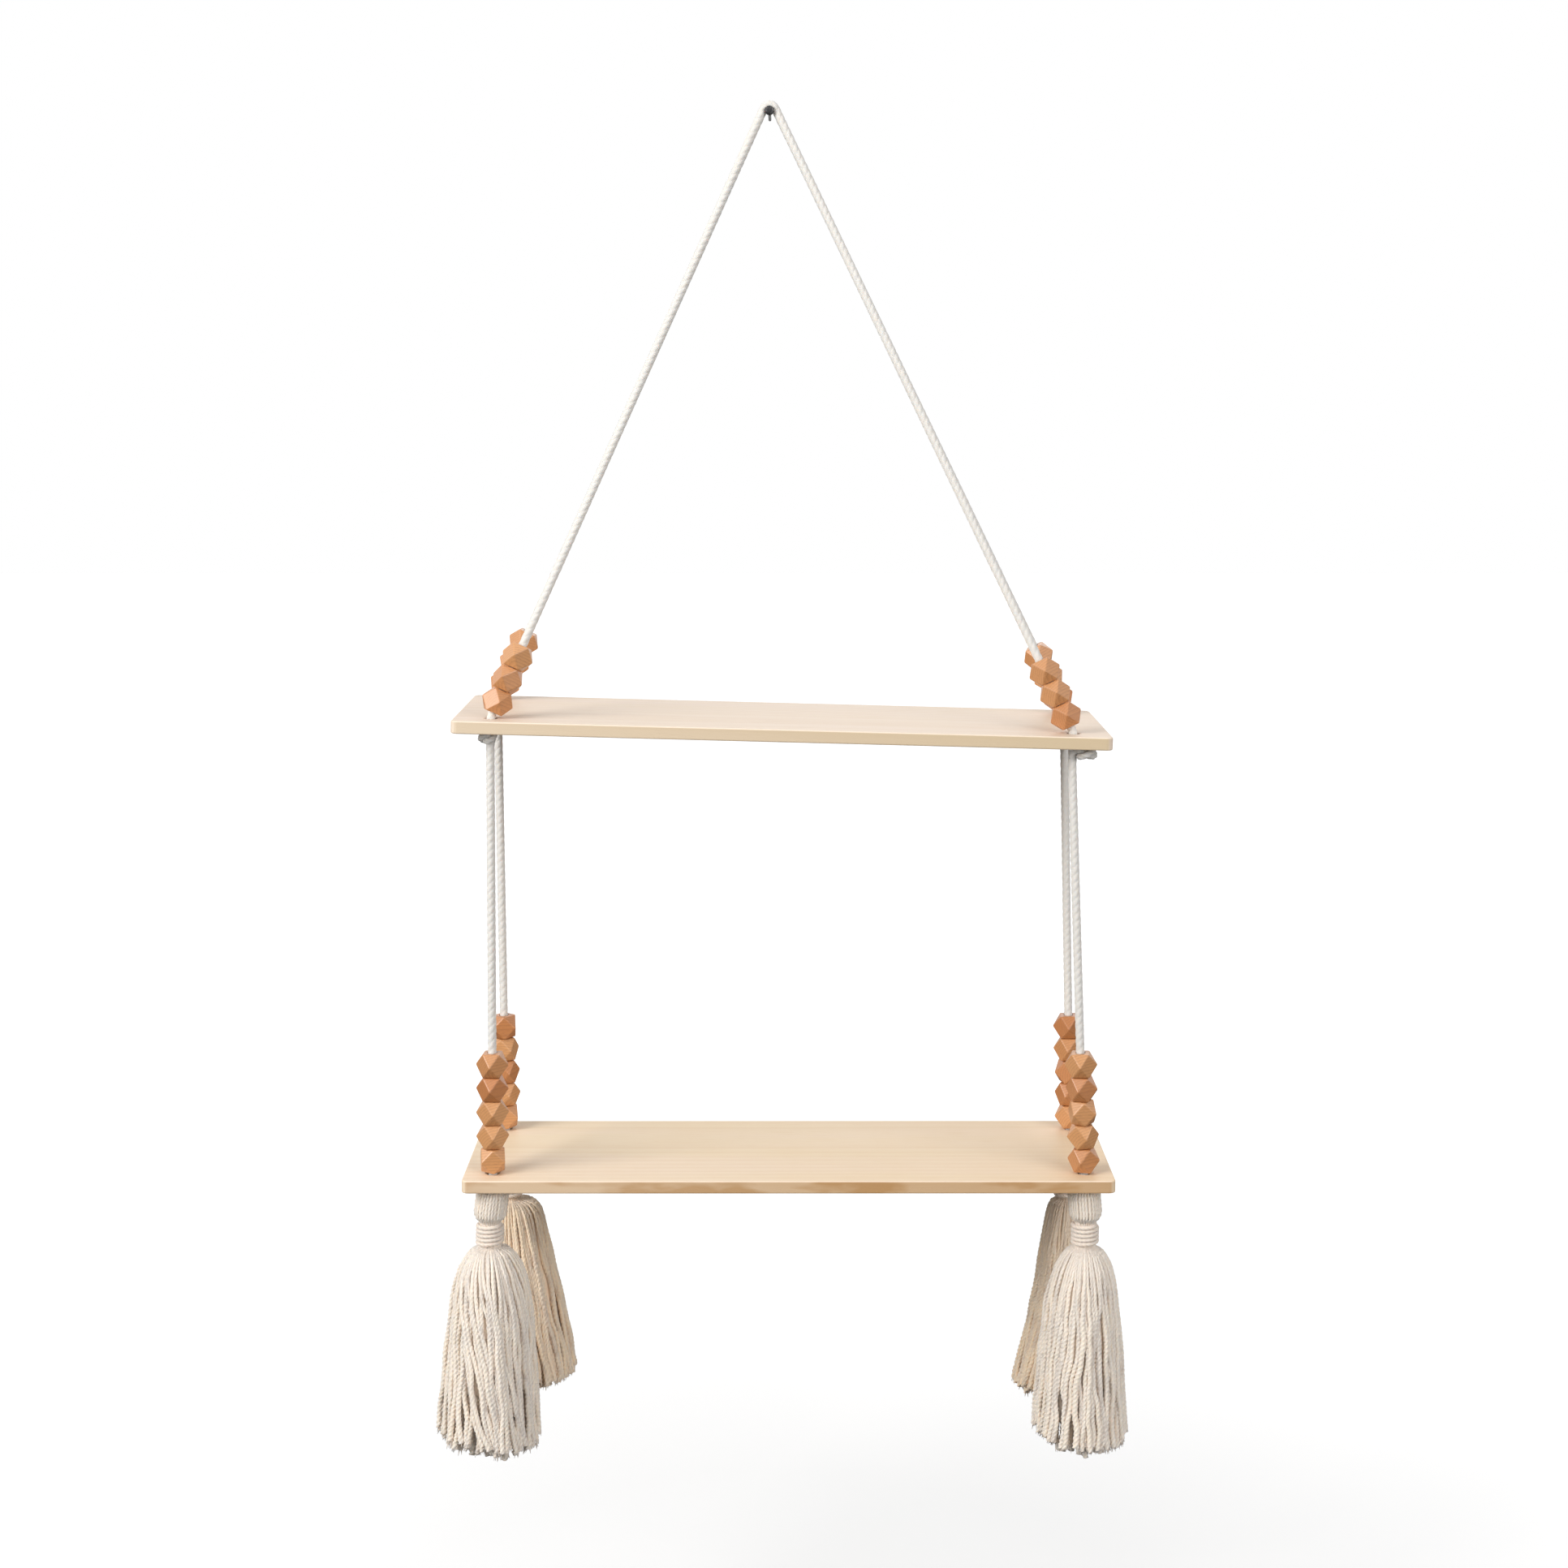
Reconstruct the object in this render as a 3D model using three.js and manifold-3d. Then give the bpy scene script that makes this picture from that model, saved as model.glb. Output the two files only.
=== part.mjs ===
// Hanging rope shelf: two drilled boards on four rope falls that pass over one wall nail,
// with faceted beads on every fall and a bound tassel under each corner of the lower board.
// Millimetres, +Z up, +X to the right, the wall is the plane y = 0 and the front faces -Y.
// The origin is where the nail's axis enters the wall.
import * as THREE from 'three';
import { ConvexGeometry } from 'three/addons/geometries/ConvexGeometry.js';
import { mergeVertices } from 'three/addons/utils/BufferGeometryUtils.js';
import Module from 'manifold-3d';

const wasm = await Module();
wasm.setup();

// Boards
const boardLength = 406;
const boardDepth = 120;
const boardThickness = 8;
const boardCornerRadius = 4;
const boardEdgeEase = 0.8;
const holeDiameter = 8;
const holeEdgeInset = 16;
const upperFrontHoleInset = 23;
const upperRearHoleInset = 17.5;
const lowerFrontHoleInset = 18;
const lowerRearHoleInset = 16;

// How the boards hang: drops are measured from the nail's axis to the middle of each board's top
const upperBoardDrop = 384;
const lowerBoardDrop = 666;
const upperBoardShift = 8;
const lowerBoardShift = 12;
const upperBoardTilt = THREE.MathUtils.degToRad(1.5);

// Rope
const ropeDiameter = 5.5;
const ropeSides = 10;
const ropeDomeRings = 3;
const seatGap = 0.3;
const ropeEndInset = 1;

// Wall nail
const nailDiameter = 2.2;
const nailHeadDiameter = 6;
const nailHeadThickness = 1.3;
const nailHeadCrown = 0.5;
const nailEmbedded = 24;
const nailPointLength = 5;
const nailSides = 16;
const rearRopeStandoff = 25.5;
const frontRopeStandoff = 31.5;

// Rope crown, the short bend of each rope over the nail
const crownLegLength = 9;
const crownArcPoints = 9;
const crownSteps = 22;
const tiltOutLimit = THREE.MathUtils.degToRad(12);

// Stopper knots under the upper board
const leftKnotDiameter = 12;
const rightKnotDiameter = 15;
const knotHeight = 7.5;
const knotFullness = 0.7;
const knotLobes = 3;
const knotLobeShare = 0.09;
const knotTwist = 0.9;
const knotRings = 7;
const knotPoints = 18;
const knotStubLength = 2;
const leftKnotOutset = 1.5;
const rightKnotOutset = 6;

// Where the upper rope turns down into its hole
const ropeTurnHeight = 1;

// Beads
const beadSize = 14.8;
const beadGap = 0.3;
const beadBoreClearance = 0.4;
const beadBoreSides = 12;
const beadBoardGap = 1.3;
const beadCornerGap = 0.4;
const upperBeadSpins = {
  front_left: [12, -14, 6],
  rear_left: [-9, 13, -15],
  front_right: [-13, 8, 15],
  rear_right: [10, -15, 4],
};
const lowerBeadSpins = {
  front_left: [-11, 14, -5, 12, 15],
  rear_left: [6, -13, 10, -2, 4],
  front_right: [14, -8, -15, 11, -6],
  rear_right: [-12, 5, 15, -9, 2],
};

// Tassels: lengths run down from the underside of the lower board
const tasselLength = 173;
const headDomeRadius = 12;
const headRadius = 11;
const headLength = 21;
const headShoulder = 2.2;
const headDomeShares = [0.22, 0.44, 0.66, 0.85, 1];
const neckRadius = 7.8;
const neckLength = 18.5;
const skirtEdgeRise = 14;
const skirtInnerShare = 0.55;
const skirtInnerRiseShare = 0.28;
const raggedness = 3.2;
const skirtCords = 18;
const cordReliefShare = 0.16;
const skirtTwist = 0.22;
const wallClearance = 1;
const skirtProfileShares = [
  [0.02, 0.42],
  [0.06, 0.53],
  [0.105, 0.625],
  [0.19, 0.72],
  [0.28, 0.775],
  [0.4, 0.825],
  [0.53, 0.87],
  [0.7, 0.92],
  [0.86, 0.965],
  [1, 1],
];
const skirtRadii = { front_left: 33, rear_left: 34, front_right: 29.5, rear_right: 30 };
const tasselLeanShares = { front_left: -0.025, rear_left: 0.078, front_right: -0.012, rear_right: -0.006 };

// Binding cord wound round each tassel's neck
const bindingDiameter = 3;
const bindingPitch = 3.5;
const bindingTurns = 4;
const bindingSides = 6;
const bindingStepsPerTurn = 24;

// Sizes worked out from the ones above
const ropeRadius = ropeDiameter / 2;
const beadPitch = beadSize + beadGap;
const crownRadius = nailDiameter / 2 + seatGap + ropeRadius;
const tiltAxisStandoff = (rearRopeStandoff + frontRopeStandoff) / 2;
const weldDistance = seatGap / 1000;

// Finishes
const finishes = {
  pine: new THREE.MeshStandardMaterial({ color: 0xe9d6ba, roughness: 0.62, metalness: 0 }),
  bead: new THREE.MeshStandardMaterial({ color: 0xc68d52, roughness: 0.5, metalness: 0 }),
  rope: new THREE.MeshStandardMaterial({ color: 0xe9e6e0, roughness: 0.9, metalness: 0 }),
  tassel: new THREE.MeshStandardMaterial({ color: 0xe3d7c8, roughness: 0.95, metalness: 0 }),
  binding: new THREE.MeshStandardMaterial({ color: 0xe9dfd4, roughness: 0.92, metalness: 0 }),
  iron: new THREE.MeshStandardMaterial({ color: 0x3a3a3b, roughness: 0.45, metalness: 0.8 }),
};

const corners = [
  { name: 'front_left', side: -1, front: true },
  { name: 'rear_left', side: -1, front: false },
  { name: 'front_right', side: 1, front: true },
  { name: 'rear_right', side: 1, front: false },
];

const shelf = new THREE.Group();

function addMesh(name, geometry, finish) {
  const mesh = new THREE.Mesh(geometry, finish.clone());
  mesh.name = name;
  shelf.add(mesh);
  return mesh;
}

// A closed geometry with shared vertices and no triangle that has collapsed to a line
function weld(geometry) {
  const bare = geometry.clone();
  bare.deleteAttribute('normal');
  bare.deleteAttribute('uv');
  const merged = mergeVertices(bare, weldDistance);
  const index = merged.getIndex().array;
  const kept = [];
  for (let i = 0; i < index.length; i += 3) {
    const [a, b, c] = [index[i], index[i + 1], index[i + 2]];
    if (a !== b && b !== c && c !== a) kept.push(a, b, c);
  }
  merged.setIndex(kept);
  return merged;
}

function toSolid(geometry) {
  const welded = weld(geometry);
  return new wasm.Manifold(new wasm.Mesh({
    numProp: 3,
    vertProperties: new Float32Array(welded.getAttribute('position').array),
    triVerts: new Uint32Array(welded.getIndex().array),
  }));
}

function toGeometry(solid) {
  const mesh = solid.getMesh();
  const geometry = new THREE.BufferGeometry();
  geometry.setAttribute('position', new THREE.BufferAttribute(mesh.vertProperties, 3));
  geometry.setIndex(new THREE.BufferAttribute(mesh.triVerts, 1));
  geometry.computeVertexNormals();
  return geometry;
}

// A closed skin over rings of equal point counts, listed from the top down, with a pole at each end
function loft(topPole, rings, bottomPole) {
  const count = rings[0].length;
  const points = [topPole, ...rings.flat(), bottomPole];
  const last = points.length - 1;
  const triangles = [];
  for (let i = 0; i < count; i += 1) {
    const j = (i + 1) % count;
    triangles.push(0, 1 + i, 1 + j);
    for (let ring = 0; ring + 1 < rings.length; ring += 1) {
      const above = 1 + ring * count;
      const below = above + count;
      triangles.push(above + i, below + i, below + j, above + i, below + j, above + j);
    }
    const foot = 1 + (rings.length - 1) * count;
    triangles.push(foot + i, last, foot + j);
  }
  const geometry = new THREE.BufferGeometry();
  geometry.setFromPoints(points);
  geometry.setIndex(triangles);
  geometry.computeVertexNormals();
  return geometry;
}

// A straight run of rope between two points, domed or flat at each end
function ropeRun(from, to, domeAtStart, domeAtEnd) {
  const length = from.distanceTo(to);
  const profile = [new THREE.Vector2(0, domeAtStart ? -ropeRadius : 0)];
  for (let i = 1; i < ropeDomeRings && domeAtStart; i += 1) {
    const angle = (i / ropeDomeRings) * Math.PI / 2;
    profile.push(new THREE.Vector2(ropeRadius * Math.sin(angle), -ropeRadius * Math.cos(angle)));
  }
  profile.push(new THREE.Vector2(ropeRadius, 0), new THREE.Vector2(ropeRadius, length));
  for (let i = ropeDomeRings - 1; i > 0 && domeAtEnd; i -= 1) {
    const angle = (i / ropeDomeRings) * Math.PI / 2;
    profile.push(new THREE.Vector2(ropeRadius * Math.sin(angle), length + ropeRadius * Math.cos(angle)));
  }
  profile.push(new THREE.Vector2(0, domeAtEnd ? length + ropeRadius : length));
  const geometry = new THREE.LatheGeometry(profile, ropeSides);
  const along = new THREE.Vector3().subVectors(to, from).normalize();
  const turn = new THREE.Quaternion().setFromUnitVectors(new THREE.Vector3(0, 1, 0), along);
  geometry.applyQuaternion(turn);
  geometry.translate(from.x, from.y, from.z);
  return geometry;
}

function polygon(centreX, centreY, radius, sides) {
  const points = [];
  for (let i = 0; i < sides; i += 1) {
    const angle = (i / sides) * 2 * Math.PI;
    points.push(new THREE.Vector2(centreX + radius * Math.cos(angle), centreY + radius * Math.sin(angle)));
  }
  return points;
}

// Hole centres in a board's own frame, whose zero is the middle of the top face
function holeInBoard(frame, corner) {
  const depth = boardDepth / 2 - holeEdgeInset;
  const inset = corner.front ? frame.userData.frontHoleInset : frame.userData.rearHoleInset;
  const reach = boardLength / 2 - inset;
  return new THREE.Vector3(corner.side * reach, corner.front ? -depth : depth, 0);
}

function boardGeometry(frame) {
  const cornerSteps = 4;
  const halfLength = boardLength / 2 - boardCornerRadius;
  const halfDepth = boardDepth / 2 - boardCornerRadius;
  const outline = [];
  [[1, 1], [-1, 1], [-1, -1], [1, -1]].forEach(([sideX, sideY], quarter) => {
    for (let i = 0; i <= cornerSteps; i += 1) {
      const angle = (quarter + i / cornerSteps) * Math.PI / 2;
      outline.push(new THREE.Vector2(
        sideX * halfLength + boardCornerRadius * Math.cos(angle),
        sideY * halfDepth + boardCornerRadius * Math.sin(angle),
      ));
    }
  });
  const shape = new THREE.Shape(outline);
  const holeSides = 16;
  for (const corner of corners) {
    const centre = holeInBoard(frame, corner);
    shape.holes.push(new THREE.Path(polygon(centre.x, centre.y, holeDiameter / 2, holeSides)));
  }
  const geometry = new THREE.ExtrudeGeometry(shape, {
    depth: boardThickness - 2 * boardEdgeEase,
    bevelEnabled: true,
    bevelThickness: boardEdgeEase,
    bevelSize: boardEdgeEase,
    bevelOffset: -boardEdgeEase,
    bevelSegments: 2,
  });
  geometry.translate(0, 0, boardEdgeEase - boardThickness);
  return weld(geometry);
}

// The two boards' frames: the upper one hangs tilted, its left end higher
function boardFrame(shift, drop, tilt, frontHoleInset, rearHoleInset) {
  const frame = new THREE.Object3D();
  frame.userData.frontHoleInset = frontHoleInset;
  frame.userData.rearHoleInset = rearHoleInset;
  frame.position.set(shift, -boardDepth / 2, -drop);
  frame.rotation.y = tilt;
  frame.updateMatrixWorld();
  return frame;
}

const upperFrame = boardFrame(
  upperBoardShift,
  upperBoardDrop,
  upperBoardTilt,
  upperFrontHoleInset,
  upperRearHoleInset,
);
const lowerFrame = boardFrame(lowerBoardShift, lowerBoardDrop, 0, lowerFrontHoleInset, lowerRearHoleInset);

function onBoard(frame, corner, height, outset = 0) {
  const point = holeInBoard(frame, corner);
  return frame.localToWorld(point.set(point.x + outset, point.y, height));
}

function buildBoard(name, frame) {
  const mesh = addMesh(name, boardGeometry(frame), finishes.pine);
  mesh.position.copy(frame.position);
  mesh.rotation.copy(frame.rotation);
}

// The nail is turned about its own axis, point in the wall and head in front of the ropes
function buildNail() {
  const radius = nailDiameter / 2;
  const headFace = -(frontRopeStandoff + ropeRadius + seatGap);
  const headFront = headFace - nailHeadThickness;
  const profile = [
    new THREE.Vector2(0, headFront - nailHeadCrown),
    new THREE.Vector2(nailHeadDiameter / 4, headFront - nailHeadCrown / 2),
    new THREE.Vector2(nailHeadDiameter / 2, headFront),
    new THREE.Vector2(nailHeadDiameter / 2, headFace),
    new THREE.Vector2(radius, headFace),
    new THREE.Vector2(radius, nailEmbedded - nailPointLength),
    new THREE.Vector2(0, nailEmbedded),
  ];
  addMesh('wall_nail', weld(new THREE.LatheGeometry(profile, nailSides)), finishes.iron);
}

// The line of one upper fall: tangent to the crown's circle round the nail, down to its hole
function fallLine(corner) {
  const foot = onBoard(upperFrame, corner, ropeTurnHeight);
  const reach = Math.hypot(foot.x, foot.z);
  const bearing = Math.atan2(foot.x, foot.z);
  const angle = bearing - corner.side * Math.acos(crownRadius / reach);
  const standoff = corner.front ? frontRopeStandoff : rearRopeStandoff;
  const tangent = new THREE.Vector3(crownRadius * Math.sin(angle), -standoff, crownRadius * Math.cos(angle));
  const along = new THREE.Vector3().subVectors(foot, tangent).normalize();
  return { foot, tangent, angle, along };
}

// The front rope lies in front of the axis the shelf tilts about, so its falls start a little lower
function crownGap(corner) {
  const swing = corner.front ? (frontRopeStandoff - tiltAxisStandoff) * Math.sin(tiltOutLimit) : 0;
  return seatGap + swing;
}

function buildCrown(name, leftCorner, rightCorner) {
  const left = fallLine(leftCorner);
  const right = fallLine(rightCorner);
  const points = [];
  points.push(left.tangent.clone().addScaledVector(left.along, crownLegLength));
  points.push(left.tangent.clone().addScaledVector(left.along, crownLegLength / 2));
  for (let i = 0; i < crownArcPoints; i += 1) {
    const angle = THREE.MathUtils.lerp(left.angle, right.angle, i / (crownArcPoints - 1));
    const height = crownRadius * Math.cos(angle);
    points.push(new THREE.Vector3(crownRadius * Math.sin(angle), left.tangent.y, height));
  }
  points.push(right.tangent.clone().addScaledVector(right.along, crownLegLength / 2));
  points.push(right.tangent.clone().addScaledVector(right.along, crownLegLength));
  const geometry = new THREE.ExtrudeGeometry(new THREE.Shape(polygon(0, 0, ropeRadius, ropeSides)), {
    steps: crownSteps,
    bevelEnabled: false,
    extrudePath: new THREE.CatmullRomCurve3(points, false, 'centripetal'),
  });
  addMesh(name, weld(geometry), finishes.rope);
}

// A stopper knot: a squat body whose three bulges wind round it, as a tightened knot shows
function knotGeometry(diameter) {
  const rings = [];
  for (let ring = 1; ring <= knotRings; ring += 1) {
    const polar = (ring / (knotRings + 1)) * Math.PI;
    const girth = Math.sin(polar) ** knotFullness;
    const points = [];
    for (let i = 0; i < knotPoints; i += 1) {
      const angle = (i / knotPoints) * 2 * Math.PI;
      const bulge = Math.cos(knotLobes * (angle + knotTwist * Math.cos(polar)));
      const radius = (diameter / 2) * girth * (1 - knotLobeShare + knotLobeShare * bulge);
      points.push(new THREE.Vector3(
        radius * Math.cos(angle),
        radius * Math.sin(angle),
        (knotHeight / 2) * Math.cos(polar),
      ));
    }
    rings.push(points);
  }
  const half = new THREE.Vector3(0, 0, knotHeight / 2);
  return loft(half, rings, half.clone().negate());
}

// The points on the axis of one hole, in the upper board's frame
const knotTop = -boardThickness - seatGap;
const knotMiddle = knotTop - knotHeight / 2;
const stubEnd = knotTop - knotHeight - knotStubLength;

function buildUpperFall(corner) {
  const line = fallLine(corner);
  const start = crownLegLength + crownGap(corner) + ropeRadius;
  const top = line.tangent.clone().addScaledVector(line.along, start);
  const slant = toSolid(ropeRun(top, line.foot, true, true));
  const drop = toSolid(ropeRun(line.foot, onBoard(upperFrame, corner, stubEnd), true, false));
  const outset = corner.side < 0 ? -leftKnotOutset : rightKnotOutset;
  const knot = knotGeometry(corner.side < 0 ? leftKnotDiameter : rightKnotDiameter);
  knot.rotateZ(corner.side + (corner.front ? 0 : 1));
  knot.applyQuaternion(upperFrame.quaternion);
  const centre = onBoard(upperFrame, corner, knotMiddle, outset);
  knot.translate(centre.x, centre.y, centre.z);
  const solid = slant.add(drop).add(toSolid(knot));
  addMesh(`upper_fall_${corner.name}`, toGeometry(solid), finishes.rope);
}

// The middle falls hang from the knots and pass through the lower board
function middleFallEnds(corner) {
  const top = onBoard(upperFrame, corner, stubEnd);
  top.z -= seatGap + ropeRadius;
  const through = onBoard(lowerFrame, corner, -boardThickness / 2);
  const along = new THREE.Vector3().subVectors(through, top).normalize();
  const bottom = through.clone().addScaledVector(along, boardThickness / 2 - ropeEndInset);
  return { top, bottom, along };
}

function buildMiddleFall(corner) {
  const { top, bottom } = middleFallEnds(corner);
  addMesh(`middle_fall_${corner.name}`, weld(ropeRun(top, bottom, true, false)), finishes.rope);
}

// A fourteen-sided bead: a cube cut back to the middles of its edges, bored through two square faces
function beadGeometry() {
  const half = beadSize / 2;
  const points = [];
  for (const a of [-half, half]) {
    for (const b of [-half, half]) {
      points.push(new THREE.Vector3(a, b, 0), new THREE.Vector3(a, 0, b), new THREE.Vector3(0, a, b));
    }
  }
  const boreLength = 2 * beadSize;
  const bore = new THREE.CylinderGeometry(
    ropeRadius + beadBoreClearance,
    ropeRadius + beadBoreClearance,
    boreLength,
    beadBoreSides,
  );
  bore.rotateX(Math.PI / 2);
  return toGeometry(toSolid(new ConvexGeometry(points)).subtract(toSolid(bore)));
}

const bead = beadGeometry();

function buildBeadColumn(prefix, corner, bottomFace, along, spins) {
  const turn = new THREE.Quaternion().setFromUnitVectors(new THREE.Vector3(0, 0, 1), along);
  spins.forEach((spin, i) => {
    const mesh = addMesh(`${prefix}_${corner.name}_${i + 1}`, bead, finishes.bead);
    mesh.position.copy(bottomFace).addScaledVector(along, beadSize / 2 + i * beadPitch);
    const about = new THREE.Quaternion();
    about.setFromAxisAngle(new THREE.Vector3(0, 0, 1), THREE.MathUtils.degToRad(spin));
    mesh.quaternion.copy(turn).multiply(about);
  });
}

// The lowest bead on a slanting fall stands on one corner of its bottom face
function buildUpperBeads(corner) {
  const line = fallLine(corner);
  const up = line.along.clone().negate();
  const boardNormal = new THREE.Vector3(0, 0, 1).applyQuaternion(upperFrame.quaternion);
  const rise = up.dot(boardNormal);
  const lean = Math.sqrt(1 - rise * rise);
  const seat = (beadCornerGap + (beadSize / 2) * lean - ropeTurnHeight) / rise;
  const bottomFace = line.foot.clone().addScaledVector(up, seat);
  buildBeadColumn('upper_bead', corner, bottomFace, up, upperBeadSpins[corner.name]);
}

function buildLowerBeads(corner) {
  const { along } = middleFallEnds(corner);
  const up = along.clone().negate();
  const boardTop = onBoard(lowerFrame, corner, 0);
  const bottomFace = boardTop.addScaledVector(up, beadBoardGap);
  buildBeadColumn('lower_bead', corner, bottomFace, up, lowerBeadSpins[corner.name]);
}

// A repeatable spread of values from -1 to 1, one for each whole number
function scatter(seed) {
  const wave = Math.sin(seed * 127.1 + 311.7) * 43758.5453;
  return 2 * (wave - Math.floor(wave)) - 1;
}

// The head's round top rocks in the mouth of the hole, with its middle a little inside it
const headTopDepth = seatGap - headDomeRadius + Math.sqrt(headDomeRadius ** 2 - (holeDiameter / 2) ** 2);

function domeDepth(radius) {
  return headTopDepth + headDomeRadius - Math.sqrt(headDomeRadius ** 2 - radius ** 2);
}

// Outline of a tassel as [depth below the board, radius] pairs, from the head's dome to the skirt's edge
function tasselProfile(skirtRadius) {
  const profile = headDomeShares.map((share) => [domeDepth(share * headRadius), share * headRadius]);
  profile.push([headLength - headShoulder, headRadius]);
  profile.push([headLength, (headRadius + neckRadius) / 2]);
  profile.push([headLength + headShoulder / 2, neckRadius]);
  profile.push([headLength + neckLength, neckRadius]);
  const skirtTop = headLength + neckLength;
  const skirtDrop = tasselLength - skirtEdgeRise - skirtTop;
  for (const [dropShare, radiusShare] of skirtProfileShares) {
    profile.push([skirtTop + dropShare * skirtDrop, radiusShare * skirtRadius]);
  }
  return profile;
}

function tasselRing(corner, pivot, depth, radius, relief, ragged) {
  const points = [];
  const lean = tasselLeanShares[corner.name] * depth;
  const twist = skirtTwist * corner.side * (depth / tasselLength);
  const count = 2 * skirtCords;
  const wallRoom = -pivot.y - wallClearance;
  for (let i = 0; i < count; i += 1) {
    const angle = (i / count) * 2 * Math.PI + twist;
    const reach = i % 2 === 0 ? radius : radius * (1 - relief);
    const back = reach * Math.sin(angle);
    const cut = ragged * scatter(Math.floor(i / 2) + 7 * corner.side + (corner.front ? 0 : 31));
    points.push(new THREE.Vector3(
      pivot.x + lean + reach * Math.cos(angle),
      pivot.y + (back > 0 ? wallRoom * Math.tanh(back / wallRoom) : back),
      pivot.z - depth - cut,
    ));
  }
  return points;
}

// The tassel hangs from the rope's end, just under its hole in the lower board
function tasselPivot(corner) {
  return onBoard(lowerFrame, corner, -boardThickness);
}

function buildTassel(corner) {
  const pivot = tasselPivot(corner);
  const skirtRadius = skirtRadii[corner.name];
  const profile = tasselProfile(skirtRadius);
  const edge = profile.length - 1;
  const rings = profile.map(([depth, radius], i) => (
    tasselRing(corner, pivot, depth, radius, cordReliefShare, i === edge ? raggedness : 0)
  ));
  const innerDepth = tasselLength - skirtInnerRiseShare * skirtEdgeRise;
  const innerRadius = skirtInnerShare * skirtRadius;
  rings.push(tasselRing(corner, pivot, innerDepth, innerRadius, cordReliefShare, raggedness / 2));
  const lean = tasselLeanShares[corner.name];
  const top = pivot.clone();
  top.z -= headTopDepth;
  const bottom = pivot.clone();
  bottom.x += lean * tasselLength;
  bottom.z -= tasselLength;
  addMesh(`tassel_${corner.name}`, loft(top, rings, bottom), finishes.tassel);
}

// One unbroken tube wound round the neck; its middle line is a helix
function bindingPath(corner, turn) {
  const pivot = tasselPivot(corner);
  const radius = neckRadius + seatGap + bindingDiameter / 2;
  const middle = headLength + headShoulder / 2 + (neckLength - headShoulder / 2) / 2;
  const depth = middle + (turn - bindingTurns / 2) * bindingPitch;
  const angle = -turn * 2 * Math.PI;
  return new THREE.Vector3(
    pivot.x + tasselLeanShares[corner.name] * depth + radius * Math.cos(angle),
    pivot.y + radius * Math.sin(angle),
    pivot.z - depth,
  );
}

function bindingRing(corner, step) {
  const turn = step / bindingStepsPerTurn;
  const centre = bindingPath(corner, turn);
  const quarterStep = 0.25 / bindingStepsPerTurn;
  const ahead = bindingPath(corner, turn + quarterStep);
  const tangent = ahead.sub(bindingPath(corner, turn - quarterStep)).normalize();
  const outward = new THREE.Vector3(Math.cos(turn * 2 * Math.PI), -Math.sin(turn * 2 * Math.PI), 0);
  const across = new THREE.Vector3().crossVectors(tangent, outward).normalize();
  const points = [];
  for (let i = 0; i < bindingSides; i += 1) {
    const angle = -(i / bindingSides) * 2 * Math.PI;
    const point = centre.clone().addScaledVector(outward, (bindingDiameter / 2) * Math.cos(angle));
    points.push(point.addScaledVector(across, (bindingDiameter / 2) * Math.sin(angle)));
  }
  return points;
}

// The least distance between points of the winding that lie at least half a turn apart
function leastSelfGap(rings) {
  let least = Infinity;
  const halfTurn = bindingStepsPerTurn / 2;
  for (let a = 0; a < rings.length; a += 1) {
    for (let b = a + halfTurn; b < rings.length; b += 1) {
      for (const p of rings[a]) {
        for (const q of rings[b]) least = Math.min(least, p.distanceTo(q));
      }
    }
  }
  return least;
}

function buildBinding(corner) {
  const rings = [];
  const steps = bindingTurns * bindingStepsPerTurn;
  for (let step = 0; step <= steps; step += 1) rings.push(bindingRing(corner, step));
  console.log(`binding_${corner.name}: least gap to itself ${leastSelfGap(rings).toFixed(2)} mm`);
  const start = bindingPath(corner, 0);
  const end = bindingPath(corner, bindingTurns);
  addMesh(`binding_${corner.name}`, loft(start, rings, end), finishes.binding);
}

buildNail();
buildCrown('rope_crown_front', corners[0], corners[2]);
buildCrown('rope_crown_rear', corners[1], corners[3]);
buildBoard('upper_board', upperFrame);
buildBoard('lower_board', lowerFrame);
for (const corner of corners) {
  buildUpperFall(corner);
  buildUpperBeads(corner);
  buildMiddleFall(corner);
  buildLowerBeads(corner);
  buildTassel(corner);
  buildBinding(corner);
}

export default shelf;
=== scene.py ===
"""Hanging rope shelf: two pine boards on rope falls from one wall nail, with faceted beads and bound tassels.

Every length is in metres. +X runs along the boards to the right, -Y out of the wall and +Z up. The origin is
where the nail's axis enters the wall.
"""

import logging
import math
import random
from dataclasses import dataclass, field
from enum import Enum
from typing import Iterable, Sequence, TypeVar

import bmesh
import bpy
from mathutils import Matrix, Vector


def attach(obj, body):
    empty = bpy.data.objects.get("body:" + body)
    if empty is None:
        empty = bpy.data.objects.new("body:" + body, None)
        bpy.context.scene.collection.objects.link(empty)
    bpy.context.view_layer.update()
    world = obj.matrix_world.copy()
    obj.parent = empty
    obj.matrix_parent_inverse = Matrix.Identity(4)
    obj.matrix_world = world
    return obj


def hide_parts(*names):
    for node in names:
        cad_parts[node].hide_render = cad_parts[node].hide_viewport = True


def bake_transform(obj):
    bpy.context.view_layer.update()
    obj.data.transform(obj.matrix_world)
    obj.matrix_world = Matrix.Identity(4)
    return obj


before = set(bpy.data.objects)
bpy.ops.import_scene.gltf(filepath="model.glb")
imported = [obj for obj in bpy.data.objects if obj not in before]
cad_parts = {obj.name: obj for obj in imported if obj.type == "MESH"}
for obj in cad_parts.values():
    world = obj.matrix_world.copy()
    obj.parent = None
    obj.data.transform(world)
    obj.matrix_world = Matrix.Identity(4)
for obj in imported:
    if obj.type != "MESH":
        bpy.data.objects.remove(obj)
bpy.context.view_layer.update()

LOG = logging.getLogger("rope_shelf")
MM = 0.001
SAME_PLACE = 1e-6

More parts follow.
